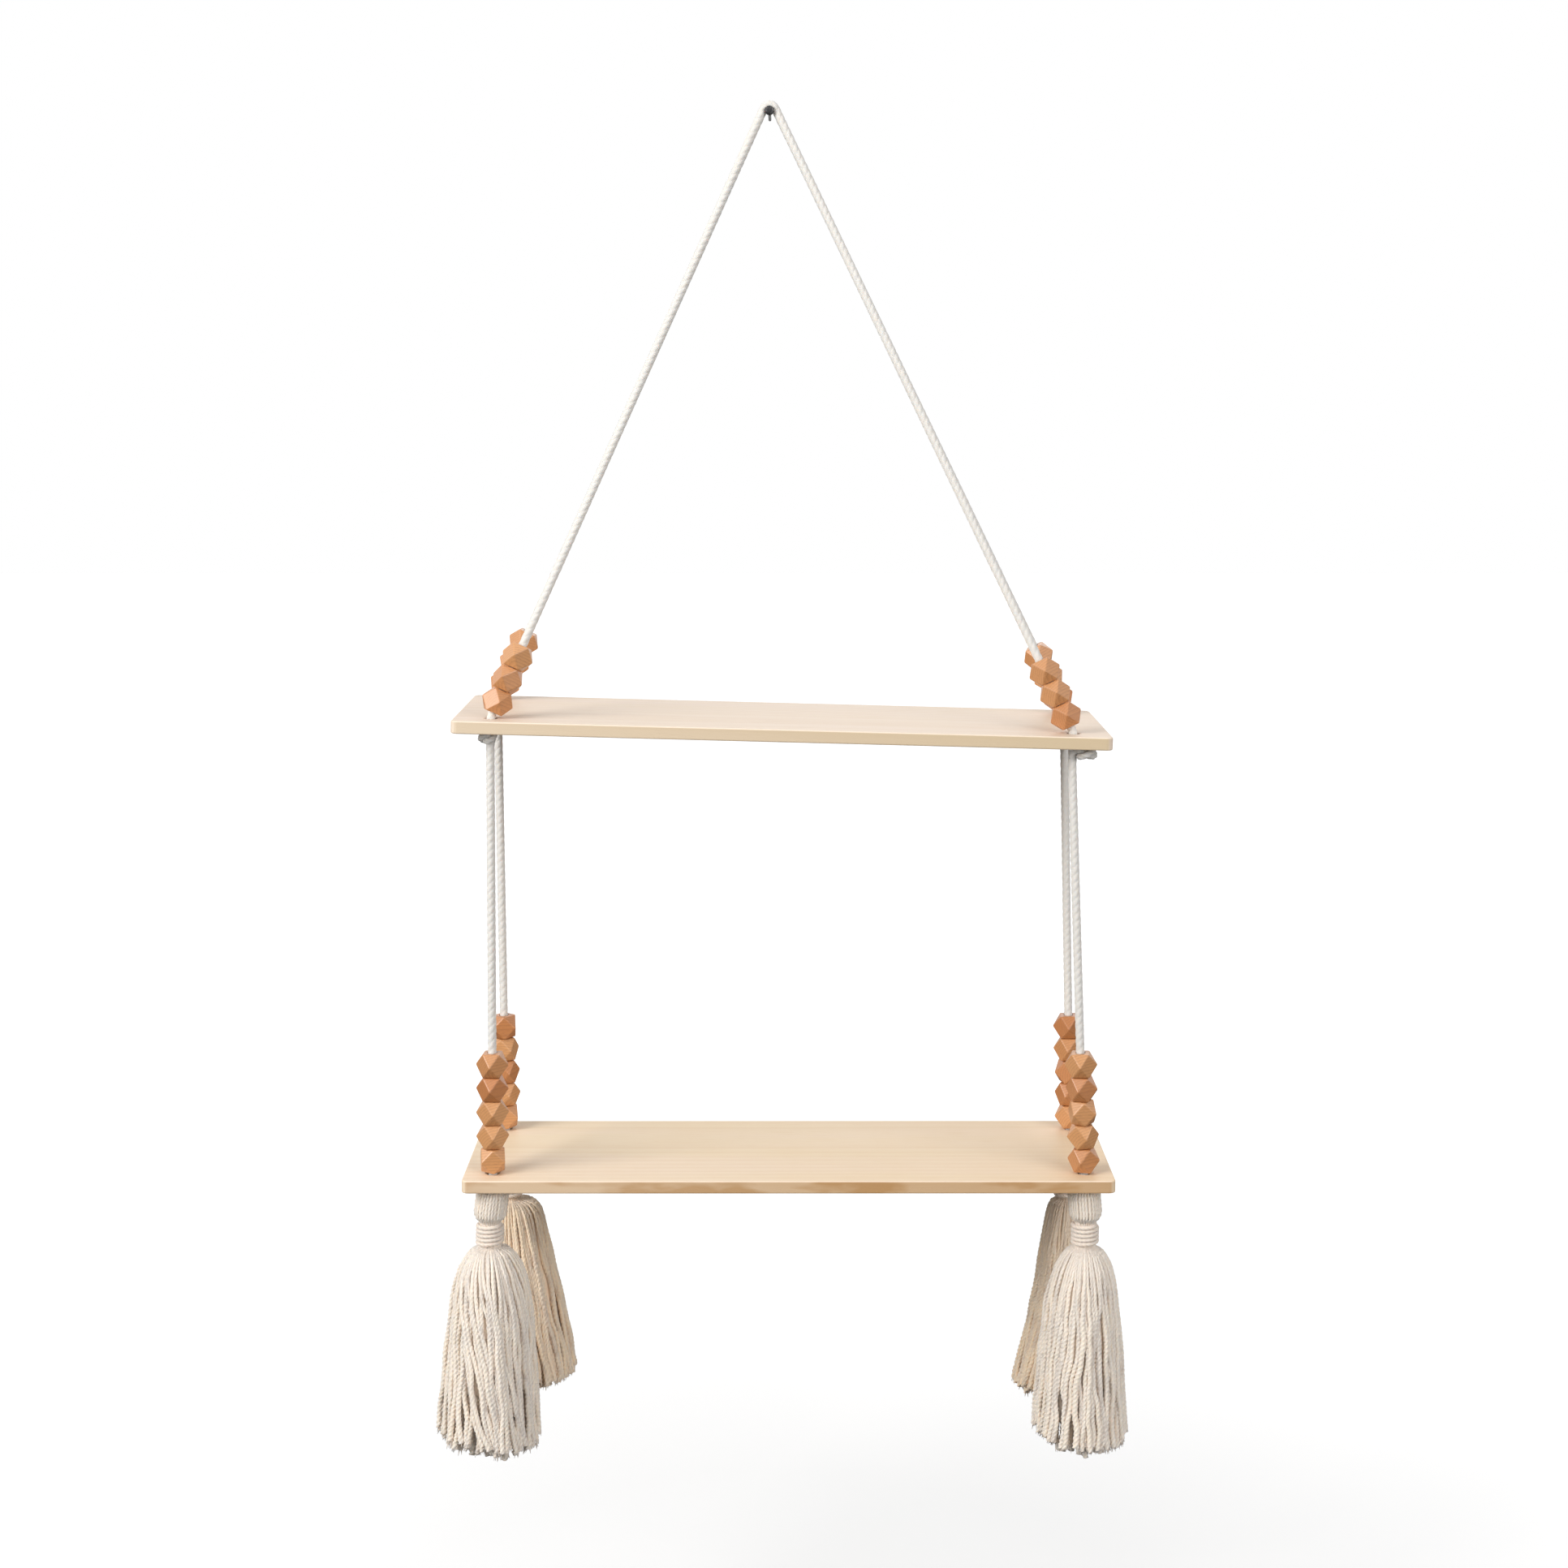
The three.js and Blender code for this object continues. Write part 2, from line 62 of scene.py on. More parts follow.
# Where a Mix node keeps its two colours and, among its outputs, the mixed one
MIX_FIRST, MIX_SECOND, MIX_COLOUR = 6, 7, 2

Point = Vector
Polyline = list[Vector]
Colour = tuple[int, int, int]
Triple = tuple[float, float, float]
Profile = tuple[tuple[float, float], ...]
Socket = bpy.types.NodeSocket
Value = TypeVar("Value")


class Corner(Enum):
    """One of the four corners of the shelf, each with its own rope, beads and tassel."""

    FRONT_LEFT = "front_left"
    REAR_LEFT = "rear_left"
    FRONT_RIGHT = "front_right"
    REAR_RIGHT = "rear_right"

    @property
    def side(self) -> int:
        """-1 on the left and 1 on the right."""
        return -1 if "left" in self.value else 1

    @property
    def front(self) -> bool:
        """True at the front edge."""
        return "front" in self.value


class Row(Enum):
    """The front rope or the rear rope, each of which passes once over the nail."""

    FRONT = "front"
    REAR = "rear"

    @property
    def left(self) -> Corner:
        """The corner at which this rope ends on the left."""
        return Corner.FRONT_LEFT if self is Row.FRONT else Corner.REAR_LEFT

    @property
    def right(self) -> Corner:
        """The corner at which this rope ends on the right."""
        return Corner.FRONT_RIGHT if self is Row.FRONT else Corner.REAR_RIGHT


def by_corner(front_left: Value, rear_left: Value, front_right: Value,
              rear_right: Value) -> dict[Corner, Value]:
    """One value for each corner, in the order of Corner."""
    return dict(zip(Corner, (front_left, rear_left, front_right, rear_right)))


def linear(red: int, green: int, blue: int) -> tuple[float, float, float, float]:
    """Turn a display colour into the linear colour that a shader takes.

    Args:
        red: Red from 0 to 255.
        green: Green from 0 to 255.
        blue: Blue from 0 to 255.

    Returns:
        The linear colour with an alpha of 1.
    """
    shares = [value / 255 for value in (red, green, blue)]
    curve = [s / 12.92 if s <= 0.04045 else ((s + 0.055) / 1.055) ** 2.4 for s in shares]
    return (curve[0], curve[1], curve[2], 1.0)


class Graph:
    """A node tree with short calls that add nodes and join them."""

    def __init__(self, tree: bpy.types.NodeTree) -> None:
        """Wrap the node tree to fill."""
        self.tree = tree

    def add(self, kind: str, inputs: dict | None = None, **settings: object) -> bpy.types.Node:
        """Add a node.

        Args:
            kind: The node's type name.
            inputs: Values or sockets for its inputs, by name or number.
            **settings: Properties to set on the node before its inputs.

        Returns:
            The new node.
        """
        node = self.tree.nodes.new(kind)
        for name, value in settings.items():
            setattr(node, name, value)
        for key, value in (inputs or {}).items():
            self.feed(node.inputs[key], value)
        return node

    def feed(self, socket: Socket, value: object) -> None:
        """Join a socket to an input, or set the input's value.

        Args:
            socket: The input.
            value: An output socket, or a plain value.
        """
        if isinstance(value, Socket):
            self.tree.links.new(value, socket)
        else:
            socket.default_value = value

    def math(self, operation: str, first: object, second: object = 0.0) -> Socket:
        """Add a Math node with two values or sockets, and return its output."""
        return self.add("ShaderNodeMath", {0: first, 1: second}, operation=operation).outputs[0]

    def plus(self, first: object, second: object) -> Socket:
        """Add two values or sockets."""
        return self.math("ADD", first, second)

    def times(self, first: object, second: object) -> Socket:
        """Multiply two values or sockets."""
        return self.math("MULTIPLY", first, second)

    def vector(self, operation: str, first: object, second: object = (0.0, 0.0, 0.0)) -> Socket:
        """Add a Vector Math node with two vectors or sockets, and return its vector."""
        return self.add("ShaderNodeVectorMath", {0: first, 1: second}, operation=operation).outputs[0]

    def scaled(self, vector: object, factor: object) -> Socket:
        """Scale a vector by a value or socket."""
        return self.add("ShaderNodeVectorMath", {0: vector, "Scale": factor}, operation="SCALE").outputs[0]

    def noise(self, place: object, scale: object, detail: float, roughness: float = 0.5) -> Socket:
        """Add a Noise Texture and return its grey value."""
        return self.add("ShaderNodeTexNoise", {
            "Vector": place, "Scale": scale, "Detail": detail, "Roughness": roughness}).outputs[0]

    def spread(self, value: object, low: float, high: float, to_low: float, to_high: float) -> Socket:
        """Map a value from the range low to high on to the range to_low to to_high, clamped."""
        return self.add("ShaderNodeMapRange", {0: value, 1: low, 2: high, 3: to_low, 4: to_high}).outputs[0]

    def blend_colours(self, share: object, first: object, second: object) -> Socket:
        """Mix two colours.

        Args:
            share: 0 for the first colour and 1 for the second.
            first: A colour or socket.
            second: A colour or socket.

        Returns:
            The mixed colour's socket.
        """
        node = self.add("ShaderNodeMix", data_type="RGBA")
        self.feed(node.inputs[0], share)
        self.feed(node.inputs[MIX_FIRST], first)
        self.feed(node.inputs[MIX_SECOND], second)
        return node.outputs[MIX_COLOUR]


@dataclass(frozen=True)
class ShelfLayout:
    """The sizes that say where each board, hole, rope run and tassel lies, as in the solids."""

    board_length: float = 406 * MM
    board_depth: float = 120 * MM
    board_thickness: float = 8 * MM
    hole_radius: float = 4 * MM
    hole_edge_inset: float = 16 * MM
    upper_insets: tuple[float, float] = (23 * MM, 17.5 * MM)
    lower_insets: tuple[float, float] = (18 * MM, 16 * MM)
    upper_drop: float = 384 * MM
    lower_drop: float = 666 * MM
    upper_shift: float = 8 * MM
    lower_shift: float = 12 * MM
    tilt: float = math.radians(1.5)
    rope_radius: float = 2.75 * MM
    seat_gap: float = 0.3 * MM
    nail_radius: float = 1.1 * MM
    rear_standoff: float = 25.5 * MM
    front_standoff: float = 31.5 * MM
    turn_height: float = 1 * MM
    knot_height: float = 7.5 * MM
    knot_stub: float = 2 * MM
    rope_end_inset: float = 1.9 * MM

    @property
    def crown_radius(self) -> float:
        """The radius of the rope's middle line round the nail."""
        return self.nail_radius + self.seat_gap + self.rope_radius

    @property
    def stub_end(self) -> float:
        """Height of the knot's lowest point, from the upper board's top."""
        return -self.board_thickness - self.seat_gap - self.knot_height - self.knot_stub

    def upper_point(self, along: float, across: float, height: float) -> Point:
        """Turn a place measured from the middle of the upper board's top into a point of the scene.

        Args:
            along: The place along the board, positive to the right.
            across: The place across it, positive toward the wall.
            height: The height over its top.

        Returns:
            The point.
        """
        cosine, sine = math.cos(self.tilt), math.sin(self.tilt)
        return Vector((
            self.upper_shift + cosine * along + sine * height,
            across - self.board_depth / 2,
            -self.upper_drop - sine * along + cosine * height,
        ))

    def lower_point(self, along: float, across: float, height: float) -> Point:
        """Turn a place measured from the middle of the lower board's top into a point of the scene."""
        return Vector((self.lower_shift + along, across - self.board_depth / 2, height - self.lower_drop))

    def hole(self, corner: Corner, insets: tuple[float, float]) -> tuple[float, float]:
        """Where a hole lies on its board.

        Args:
            corner: The hole's corner.
            insets: The distances from the board's end to its front and its rear holes.

        Returns:
            The place along and across the board, from its middle.
        """
        across = self.board_depth / 2 - self.hole_edge_inset
        along = corner.side * (self.board_length / 2 - insets[0 if corner.front else 1])
        return along, (-across if corner.front else across)

    def upper_hole(self, corner: Corner, height: float) -> Point:
        """A point on the axis of an upper board's hole."""
        return self.upper_point(*self.hole(corner, self.upper_insets), height)

    def lower_hole(self, corner: Corner, height: float) -> Point:
        """A point on the axis of a lower board's hole."""
        return self.lower_point(*self.hole(corner, self.lower_insets), height)

    def fall(self, corner: Corner) -> tuple[Point, Point, float]:
        """The line of an upper rope run.

        Args:
            corner: The run's corner.

        Returns:
            The point where it leaves the nail's curve, its foot over the hole, and the angle of the first
            point round the nail, in radians from straight up.
        """
        foot = self.upper_hole(corner, self.turn_height)
        reach = math.hypot(foot.x, foot.z)
        angle = math.atan2(foot.x, foot.z) - corner.side * math.acos(self.crown_radius / reach)
        standoff = self.front_standoff if corner.front else self.rear_standoff
        tangent = Vector((
            self.crown_radius * math.sin(angle), -standoff, self.crown_radius * math.cos(angle)))
        return tangent, foot, angle

    def middle_run(self, corner: Corner) -> tuple[Point, Point]:
        """The two points that a middle rope joins.

        Args:
            corner: The rope's corner.

        Returns:
            The pivot under the knot and the middle of the lower board's hole.
        """
        top = self.upper_hole(corner, self.stub_end)
        top.z -= self.seat_gap + self.rope_radius
        return top, self.lower_hole(corner, -self.board_thickness / 2)


LAYOUT = ShelfLayout()


def link_mesh(name: str, mesh: bpy.types.Mesh) -> bpy.types.Object:
    """Put a mesh into the scene as a new object at the origin.

    Args:
        name: The object's name.
        mesh: Its mesh.

    Returns:
        The new object.
    """
    made = bpy.data.objects.new(name, mesh)
    bpy.context.scene.collection.objects.link(made)
    return made


def polyline_mesh(name: str, lines: Sequence[Polyline], closed: bool = False,
                  values: dict[str, Sequence[Sequence[float]]] | None = None) -> bpy.types.Object:
    """Make an object that holds one or more lines as loose edges.

    Args:
        name: The object's name.
        lines: The points of each line.
        closed: True to join each line's last point to its first.
        values: Float values for every point, by attribute name, one list for each line.

    Returns:
        The new object, linked to the scene.
    """
    points: Polyline = []
    edges: list[tuple[int, int]] = []
    for line in lines:
        first = len(points)
        points.extend(line)
        edges.extend((first + i, first + i + 1) for i in range(len(line) - 1))
        if closed:
            edges.append((len(points) - 1, first))
    mesh = bpy.data.meshes.new(name)
    mesh.from_pydata([tuple(p) for p in points], edges, [])
    for key, rows in (values or {}).items():
        layer = mesh.attributes.new(key, "FLOAT", "POINT")
        layer.data.foreach_set("value", [value for row in rows for value in row])
    return link_mesh(name, mesh)


def rounded(points: Polyline, reach: float, steps: int = 5) -> Polyline:
    """Round the inner corners of a line.

    Args:
        points: The line's points.
        reach: How far from each corner its rounding starts.
        steps: How many points each rounding has.

    Returns:
        The rounded line.
    """
    out = [points[0]]
    for before, here, after in zip(points, points[1:], points[2:]):
        start = here + (before - here).normalized() * min(reach, (before - here).length / 2)
        end = here + (after - here).normalized() * min(reach, (after - here).length / 2)
        for i in range(steps):
            t = i / (steps - 1)
            out.append(start.lerp(here, t).lerp(here.lerp(end, t), t))
    out.append(points[-1])
    return out


def line_length(points: Iterable[Vector]) -> float:
    """The length of a line through points."""
    listed = list(points)
    return sum((b - a).length for a, b in zip(listed, listed[1:]))


def linked(name: str, work: bmesh.types.BMesh) -> bpy.types.Object:
    """Turn working mesh data into a linked object.

    Args:
        name: The object's name.
        work: The working mesh, which is freed.

    Returns:
        The new object.
    """
    mesh = bpy.data.meshes.new(name)
    work.to_mesh(mesh)
    work.free()
    return link_mesh(name, mesh)


def smooth_closed_mesh(mesh: bpy.types.Mesh) -> None:
    """Merge doubles, point every face outwards and shade it smooth.

    Args:
        mesh: The closed mesh to mend.
    """
    work = bmesh.new()
    work.from_mesh(mesh)
    bmesh.ops.remove_doubles(work, verts=work.verts, dist=SAME_PLACE)
    bmesh.ops.recalc_face_normals(work, faces=work.faces)
    for face in work.faces:
        face.smooth = True
    work.to_mesh(mesh)
    work.free()


def enlist(piece: bpy.types.Object, nodes: Sequence[str] = (), body: str | None = None) -> None:
    """Hide the solids that a piece stands for, hang it on the body that it rides on, and report it.

    Args:
        piece: The finished piece.
        nodes: The solids that it replaces.
        body: The body that it rides on, where it doesn't bend between two.
    """
    if nodes:
        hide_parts(*nodes)
    if body:
        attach(piece, body)
    LOG.info("%s: %d faces", piece.name, len(piece.data.polygons))


class GeometryTree(Graph):
    """A Geometry Nodes tree that turns a base object into a plain mesh."""

    def __init__(self, name: str) -> None:
        """Start an empty tree with a geometry input and output.

        Args:
            name: The tree's name.
        """
        super().__init__(bpy.data.node_groups.new(name, "GeometryNodeTree"))
        self.inputs: dict[str, bpy.types.NodeTreeInterfaceSocket] = {}
        self.tree.interface.new_socket("Geometry", in_out="INPUT", socket_type="NodeSocketGeometry")
        self.tree.interface.new_socket("Geometry", in_out="OUTPUT", socket_type="NodeSocketGeometry")
        self.source = self.add("NodeGroupInput")
        self.result = self.add("NodeGroupOutput")

    def size(self, name: str, kind: str = "Float") -> Socket:
        """Add a named input to the tree.

        Args:
            name: The input's name.
            kind: The kind of value it takes.

        Returns:
            The socket inside the tree that carries it.
        """
        self.inputs[name] = self.tree.interface.new_socket(
            name, in_out="INPUT", socket_type="NodeSocket" + kind)
        return self.source.outputs[name]

    def named(self, name: str) -> Socket:
        """Read the number that is kept on the points under a name."""
        return self.add("GeometryNodeInputNamedAttribute", {"Name": name}, data_type="FLOAT").outputs[0]

    def store(self, geometry: Socket, name: str, value: Socket, kind: str = "FLOAT") -> Socket:
        """Keep a value on the points under a name.

        Args:
            geometry: The geometry that carries it.
            name: The attribute's name.
            value: The value.
            kind: The attribute's data type.

        Returns:
            The geometry with the attribute.
        """
        node = self.add("GeometryNodeStoreNamedAttribute", {"Geometry": geometry, "Name": name},
                        data_type=kind)
        self.feed(node.inputs["Value"], value)
        return node.outputs[0]

    def finish(self, geometry: Socket, material: Socket) -> None:
        """End the tree in Realize Instances and Set Material.

        Args:
            geometry: The built geometry.
            material: The material input's socket.
        """
        real = self.add("GeometryNodeRealizeInstances", {0: geometry})
        dressed = self.add("GeometryNodeSetMaterial", {"Geometry": real.outputs[0], "Material": material})
        self.feed(self.result.inputs[0], dressed.outputs[0])

    def bake(self, base: bpy.types.Object, name: str, sizes: dict[str, object]) -> bpy.types.Object:
        """Run the tree on an object and keep only the plain mesh.

        Args:
            base: The object that carries the input geometry; it is removed.
            name: The new piece's name.
            sizes: A value for each named input.

        Returns:
            The new piece.
        """
        modifier = base.modifiers.new("build", "NODES")
        modifier.node_group = self.tree
        for key, value in sizes.items():
            modifier[self.inputs[key].identifier] = value
        depsgraph = bpy.context.evaluated_depsgraph_get()
        evaluated = base.evaluated_get(depsgraph)
        mesh = bpy.data.meshes.new_from_object(evaluated, preserve_all_data_layers=True, depsgraph=depsgraph)
        base.modifiers.clear()
        bpy.data.objects.remove(base)
        mesh.name = name
        return link_mesh(name, mesh)


class TwistedCordTree(GeometryTree):
    """Sweeps a lobed, turning section along lines, as the strands of a laid cord show.

    The line's points may carry a girth, which scales the radius there, and a tone, which the finish reads.
    The mesh keeps cord_place, its place on the cord as if that lay straight, so a pattern follows the cord
    with no seam.
    """

    crease_sharpness = 2.2

    def __init__(self) -> None:
        """Build the tree."""
        super().__init__("twisted_cord")
        radius, lay, step = self.size("Radius"), self.size("Lay"), self.size("Step")
        strands, points = self.size("Strands", "Int"), self.size("Points Per Strand", "Int")
        crease, material = self.size("Crease"), self.size("Material", "Material")
        curve = self.add("GeometryNodeMeshToCurve", {0: self.source.outputs[0]})
        even = self.add("GeometryNodeResampleCurve", {"Curve": curve.outputs[0], "Length": step},
                        mode="LENGTH")
        along = self.add("GeometryNodeSplineParameter").outputs["Length"]
        stored = self.store(even.outputs[0], "cord_along", along)
        turn = self.times(self.math("DIVIDE", along, lay), math.tau)
        turned = self.add("GeometryNodeSetCurveTilt", {"Curve": stored, "Tilt": turn})
        girth = self.named("girth")
        sized = self.add("GeometryNodeSetCurveRadius", {"Curve": turned.outputs[0], "Radius": girth})
        section = self._section(radius, strands, points, crease)
        swept = self.add("GeometryNodeCurveToMesh", {
            "Curve": sized.outputs[0], "Profile Curve": section, "Scale": girth, "Fill Caps": True})
        self.finish(self._place(swept.outputs[0], radius), material)

    def _section(self, radius: Socket, strands: Socket, points: Socket, crease: Socket) -> Socket:
        """Make the cord's section: a circle drawn in between its strands.

        Args:
            radius: The radius over the strands.
            strands: The number of strands.
            points: The number of points for each strand.
            crease: The depth between strands as a share of the radius.

        Returns:
            The section's curve.
        """
        total = self.times(strands, points)
        circle = self.add("GeometryNodeCurvePrimitiveCircle", {"Resolution": total, "Radius": radius})
        index = self.add("GeometryNodeInputIndex").outputs[0]
        kept = self.store(circle.outputs[0], "cord_around", self.math("DIVIDE", index, total))
        share = self.math("FRACT", self.math("DIVIDE", index, points))
        valley = self.times(self.math("ABSOLUTE", self.math("SUBTRACT", share, 0.5)), 2.0)
        depth = self.times(self.math("POWER", valley, self.crease_sharpness), crease)
        factor = self.math("SUBTRACT", 1.0, depth)
        place = self.add("GeometryNodeInputPosition").outputs[0]
        drawn_in = self.scaled(place, factor)
        return self.add("GeometryNodeSetPosition", {"Geometry": kept, "Position": drawn_in}).outputs[0]

    def _place(self, geometry: Socket, radius: Socket) -> Socket:
        """Store cord_place on the swept mesh and shade it smooth.

        Args:
            geometry: The swept mesh.
            radius: The cord's radius.

        Returns:
            The finished mesh.
        """
        angle = self.times(self.named("cord_around"), math.tau)
        flat = self.add("ShaderNodeCombineXYZ", {
            0: self.times(self.math("COSINE", angle), radius),
            1: self.times(self.math("SINE", angle), radius),
            2: self.named("cord_along")})
        placed = self.store(geometry, "cord_place", flat.outputs[0], "FLOAT_VECTOR")
        return self.add("GeometryNodeSetShadeSmooth", {"Geometry": placed}).outputs[0]


class BeadColumnTree(GeometryTree):
    """Threads copies of one bead on the points of a line, each turned about the cord by its own spin."""

    def __init__(self) -> None:
        """Build the tree."""
        super().__init__("bead_column")
        bead, axis = self.size("Bead", "Object"), self.size("Axis", "Vector")
        material = self.size("Material", "Material")
        points = self.add("GeometryNodeMeshToPoints", {"Mesh": self.source.outputs[0]})
        shape = self.add("GeometryNodeObjectInfo", {"Object": bead}, transform_space="ORIGINAL")
        upright = self.add("FunctionNodeAlignRotationToVector", {"Vector": axis}, axis="Z")
        about = self.add("FunctionNodeAxisAngleToRotation", {
            "Axis": (0.0, 0.0, 1.0), "Angle": self.named("spin")})
        turned = self.add("FunctionNodeRotateRotation", {0: upright.outputs[0], 1: about.outputs[0]},
                          rotation_space="LOCAL")
        placed = self.add("GeometryNodeInstanceOnPoints", {
            "Points": points.outputs[0], "Instance": shape.outputs["Geometry"],
            "Rotation": turned.outputs[0]})
        self.finish(placed.outputs[0], material)


class ShaderGroup(Graph):
    """A shader node group with named inputs and outputs, for an effect that several finishes share."""

    def __init__(self, name: str, inputs: dict[str, object], outputs: dict[str, str]) -> None:
        """Make the group and its sockets.

        Args:
            name: The group's name.
            inputs: A default for each input by name: a number, a vector or a colour.
            outputs: The end of each output's socket type by name.
        """
        super().__init__(bpy.data.node_groups.new(name, "ShaderNodeTree"))
        kinds = {float: "NodeSocketFloat", 3: "NodeSocketVector", 4: "NodeSocketColor"}
        for label, value in inputs.items():
            kind = kinds[float] if isinstance(value, float) else kinds[len(value)]
            self.tree.interface.new_socket(label, in_out="INPUT", socket_type=kind).default_value = value
        for label, kind in outputs.items():
            self.tree.interface.new_socket(label, in_out="OUTPUT", socket_type="NodeSocket" + kind)
        self.source = self.add("NodeGroupInput")
        self.result = self.add("NodeGroupOutput")

    def place(self, graph: Graph, inputs: dict[str, object]) -> bpy.types.Node:
        """Place the group in a material.

        Args:
            graph: The material's graph.
            inputs: Values or sockets for its inputs.

        Returns:
            The group node.
        """
        node = graph.tree.nodes.new("ShaderNodeGroup")
        node.node_tree = self.tree
        for key, value in inputs.items():
            graph.feed(node.inputs[key], value)
        return node


class FibreGroup(ShaderGroup):
    """Fine spun fibres that run along a cord at a slant, with loose ones between them."""

    stretch = 0.12
    hair_scale = 2600.0
    hair_detail = 3.0
    hair_roughness = 0.6
    hair_share = 0.6
    tuft_scale = 700.0
    tuft_detail = 2.0
    tuft_share = 0.4
    shade_range = (0.32, 0.66)

    def __init__(self) -> None:
        """Build the group."""
        super().__init__("spun_fibres", {"Place": (0.0, 0.0, 0.0), "Slant": 0.5},
                         {"Height": "Float", "Shade": "Float"})
        parts = self.add("ShaderNodeSeparateXYZ", {0: self.source.outputs["Place"]}).outputs
        slant = self.times(parts[2], self.source.outputs["Slant"])
        across = self.add("ShaderNodeCombineXYZ", {
            0: self.plus(parts[0], slant), 1: parts[1], 2: self.times(parts[2], self.stretch)}).outputs[0]
        hairs = self.noise(across, self.hair_scale, self.hair_detail, self.hair_roughness)
        tufts = self.noise(across, self.tuft_scale, self.tuft_detail)
        height = self.plus(self.times(hairs, self.hair_share), self.times(tufts, self.tuft_share))
        self.feed(self.result.inputs["Height"], height)
        self.feed(self.result.inputs["Shade"], self.spread(height, *self.shade_range, 0.0, 1.0))


class GrainGroup(ShaderGroup):
    """Solid wood figure: growth rings about a pith line, with fine pores drawn out along the grain."""

    drift_scale = 28.0
    drift_detail = 3.0
    late_wood_sharpness = 3.0
    early_wood_edge = 0.12
    pore_detail = 4.0
    pore_roughness = 0.65
    pore_range = (0.5, 0.72)
    ring_height = 0.35
    pore_depth = -0.65

    def __init__(self) -> None:
        """Build the group."""
        super().__init__(
            "wood_grain",
            {"Place": (0.0, 0.0, 0.0), "Ring Width": 0.004, "Wander": 0.006, "Grain Stretch": 0.06,
             "Pore Size": 900.0},
            {"Ring": "Float", "Pore": "Float", "Height": "Float"})
        given = self.source.outputs
        stretched = self.vector("MULTIPLY", given["Place"], self.add("ShaderNodeCombineXYZ", {
            0: given["Grain Stretch"], 1: 1.0, 2: 1.0}).outputs[0])
        drift = self.noise(stretched, self.drift_scale, self.drift_detail)
        parts = self.add("ShaderNodeSeparateXYZ", {0: given["Place"]}).outputs
        reach = self.math("SQRT", self.plus(self.times(parts[1], parts[1]), self.times(parts[2], parts[2])))
        bent = self.plus(reach, self.times(self.math("SUBTRACT", drift, 0.5), given["Wander"]))
        phase = self.math("FRACT", self.math("DIVIDE", bent, given["Ring Width"]))
        late = self.math("POWER", phase, self.late_wood_sharpness)
        early = self.spread(phase, 0.0, self.early_wood_edge, 1.0, 0.0)
        ring = self.math("MAXIMUM", late, early)
        specks = self.noise(stretched, given["Pore Size"], self.pore_detail, self.pore_roughness)
        pore = self.spread(specks, *self.pore_range, 0.0, 1.0)
        self.feed(self.result.inputs["Ring"], ring)
        self.feed(self.result.inputs["Pore"], pore)
        self.feed(self.result.inputs["Height"],
                  self.plus(self.times(ring, self.ring_height), self.times(pore, self.pore_depth)))


class HandlingGroup(ShaderGroup):
    """Slow, cloudy change of tone that handling, dust and uneven stain leave."""

    cloud_detail = 3.0
    cloud_range = (0.3, 0.7)

    def __init__(self) -> None:
        """Build the group."""
        super().__init__("handling", {"Place": (0.0, 0.0, 0.0), "Scale": 20.0}, {"Cloud": "Float"})
        given = self.source.outputs
        clouds = self.noise(given["Place"], given["Scale"], self.cloud_detail)
        self.feed(self.result.inputs["Cloud"], self.spread(clouds, *self.cloud_range, 0.0, 1.0))


class Effects:
    """The shader groups that the finishes share, built once."""

    def __init__(self) -> None:
        """Build the groups."""
        self.fibres = FibreGroup()
        self.grain = GrainGroup()
        self.handling = HandlingGroup()


def start_material(name: str) -> tuple[bpy.types.Material, Graph, bpy.types.Node]:
    """Start a material with a Principled shader.

    Args:
        name: The material's name.

    Returns:
        The material, its graph and its shader node.
    """
    material = bpy.data.materials.new(name)
    material.use_nodes = True
    graph = Graph(material.node_tree)
    return material, graph, material.node_tree.nodes["Principled BSDF"]


def set_plain(shader: bpy.types.Node, values: dict[str, object]) -> None:
    """Set the values that are the same all over on the shader's own sockets."""
    for name, value in values.items():
        shader.inputs[name].default_value = value


def add_bump(graph: Graph, shader: bpy.types.Node, height: Socket, distance: float, strength: float) -> None:
    """Feed a height, with its full depth and how strongly it shows, into a shader's normal."""
    bump = graph.add("ShaderNodeBump", {"Height": height, "Distance": distance, "Strength": strength})
    graph.feed(shader.inputs["Normal"], bump.outputs[0])


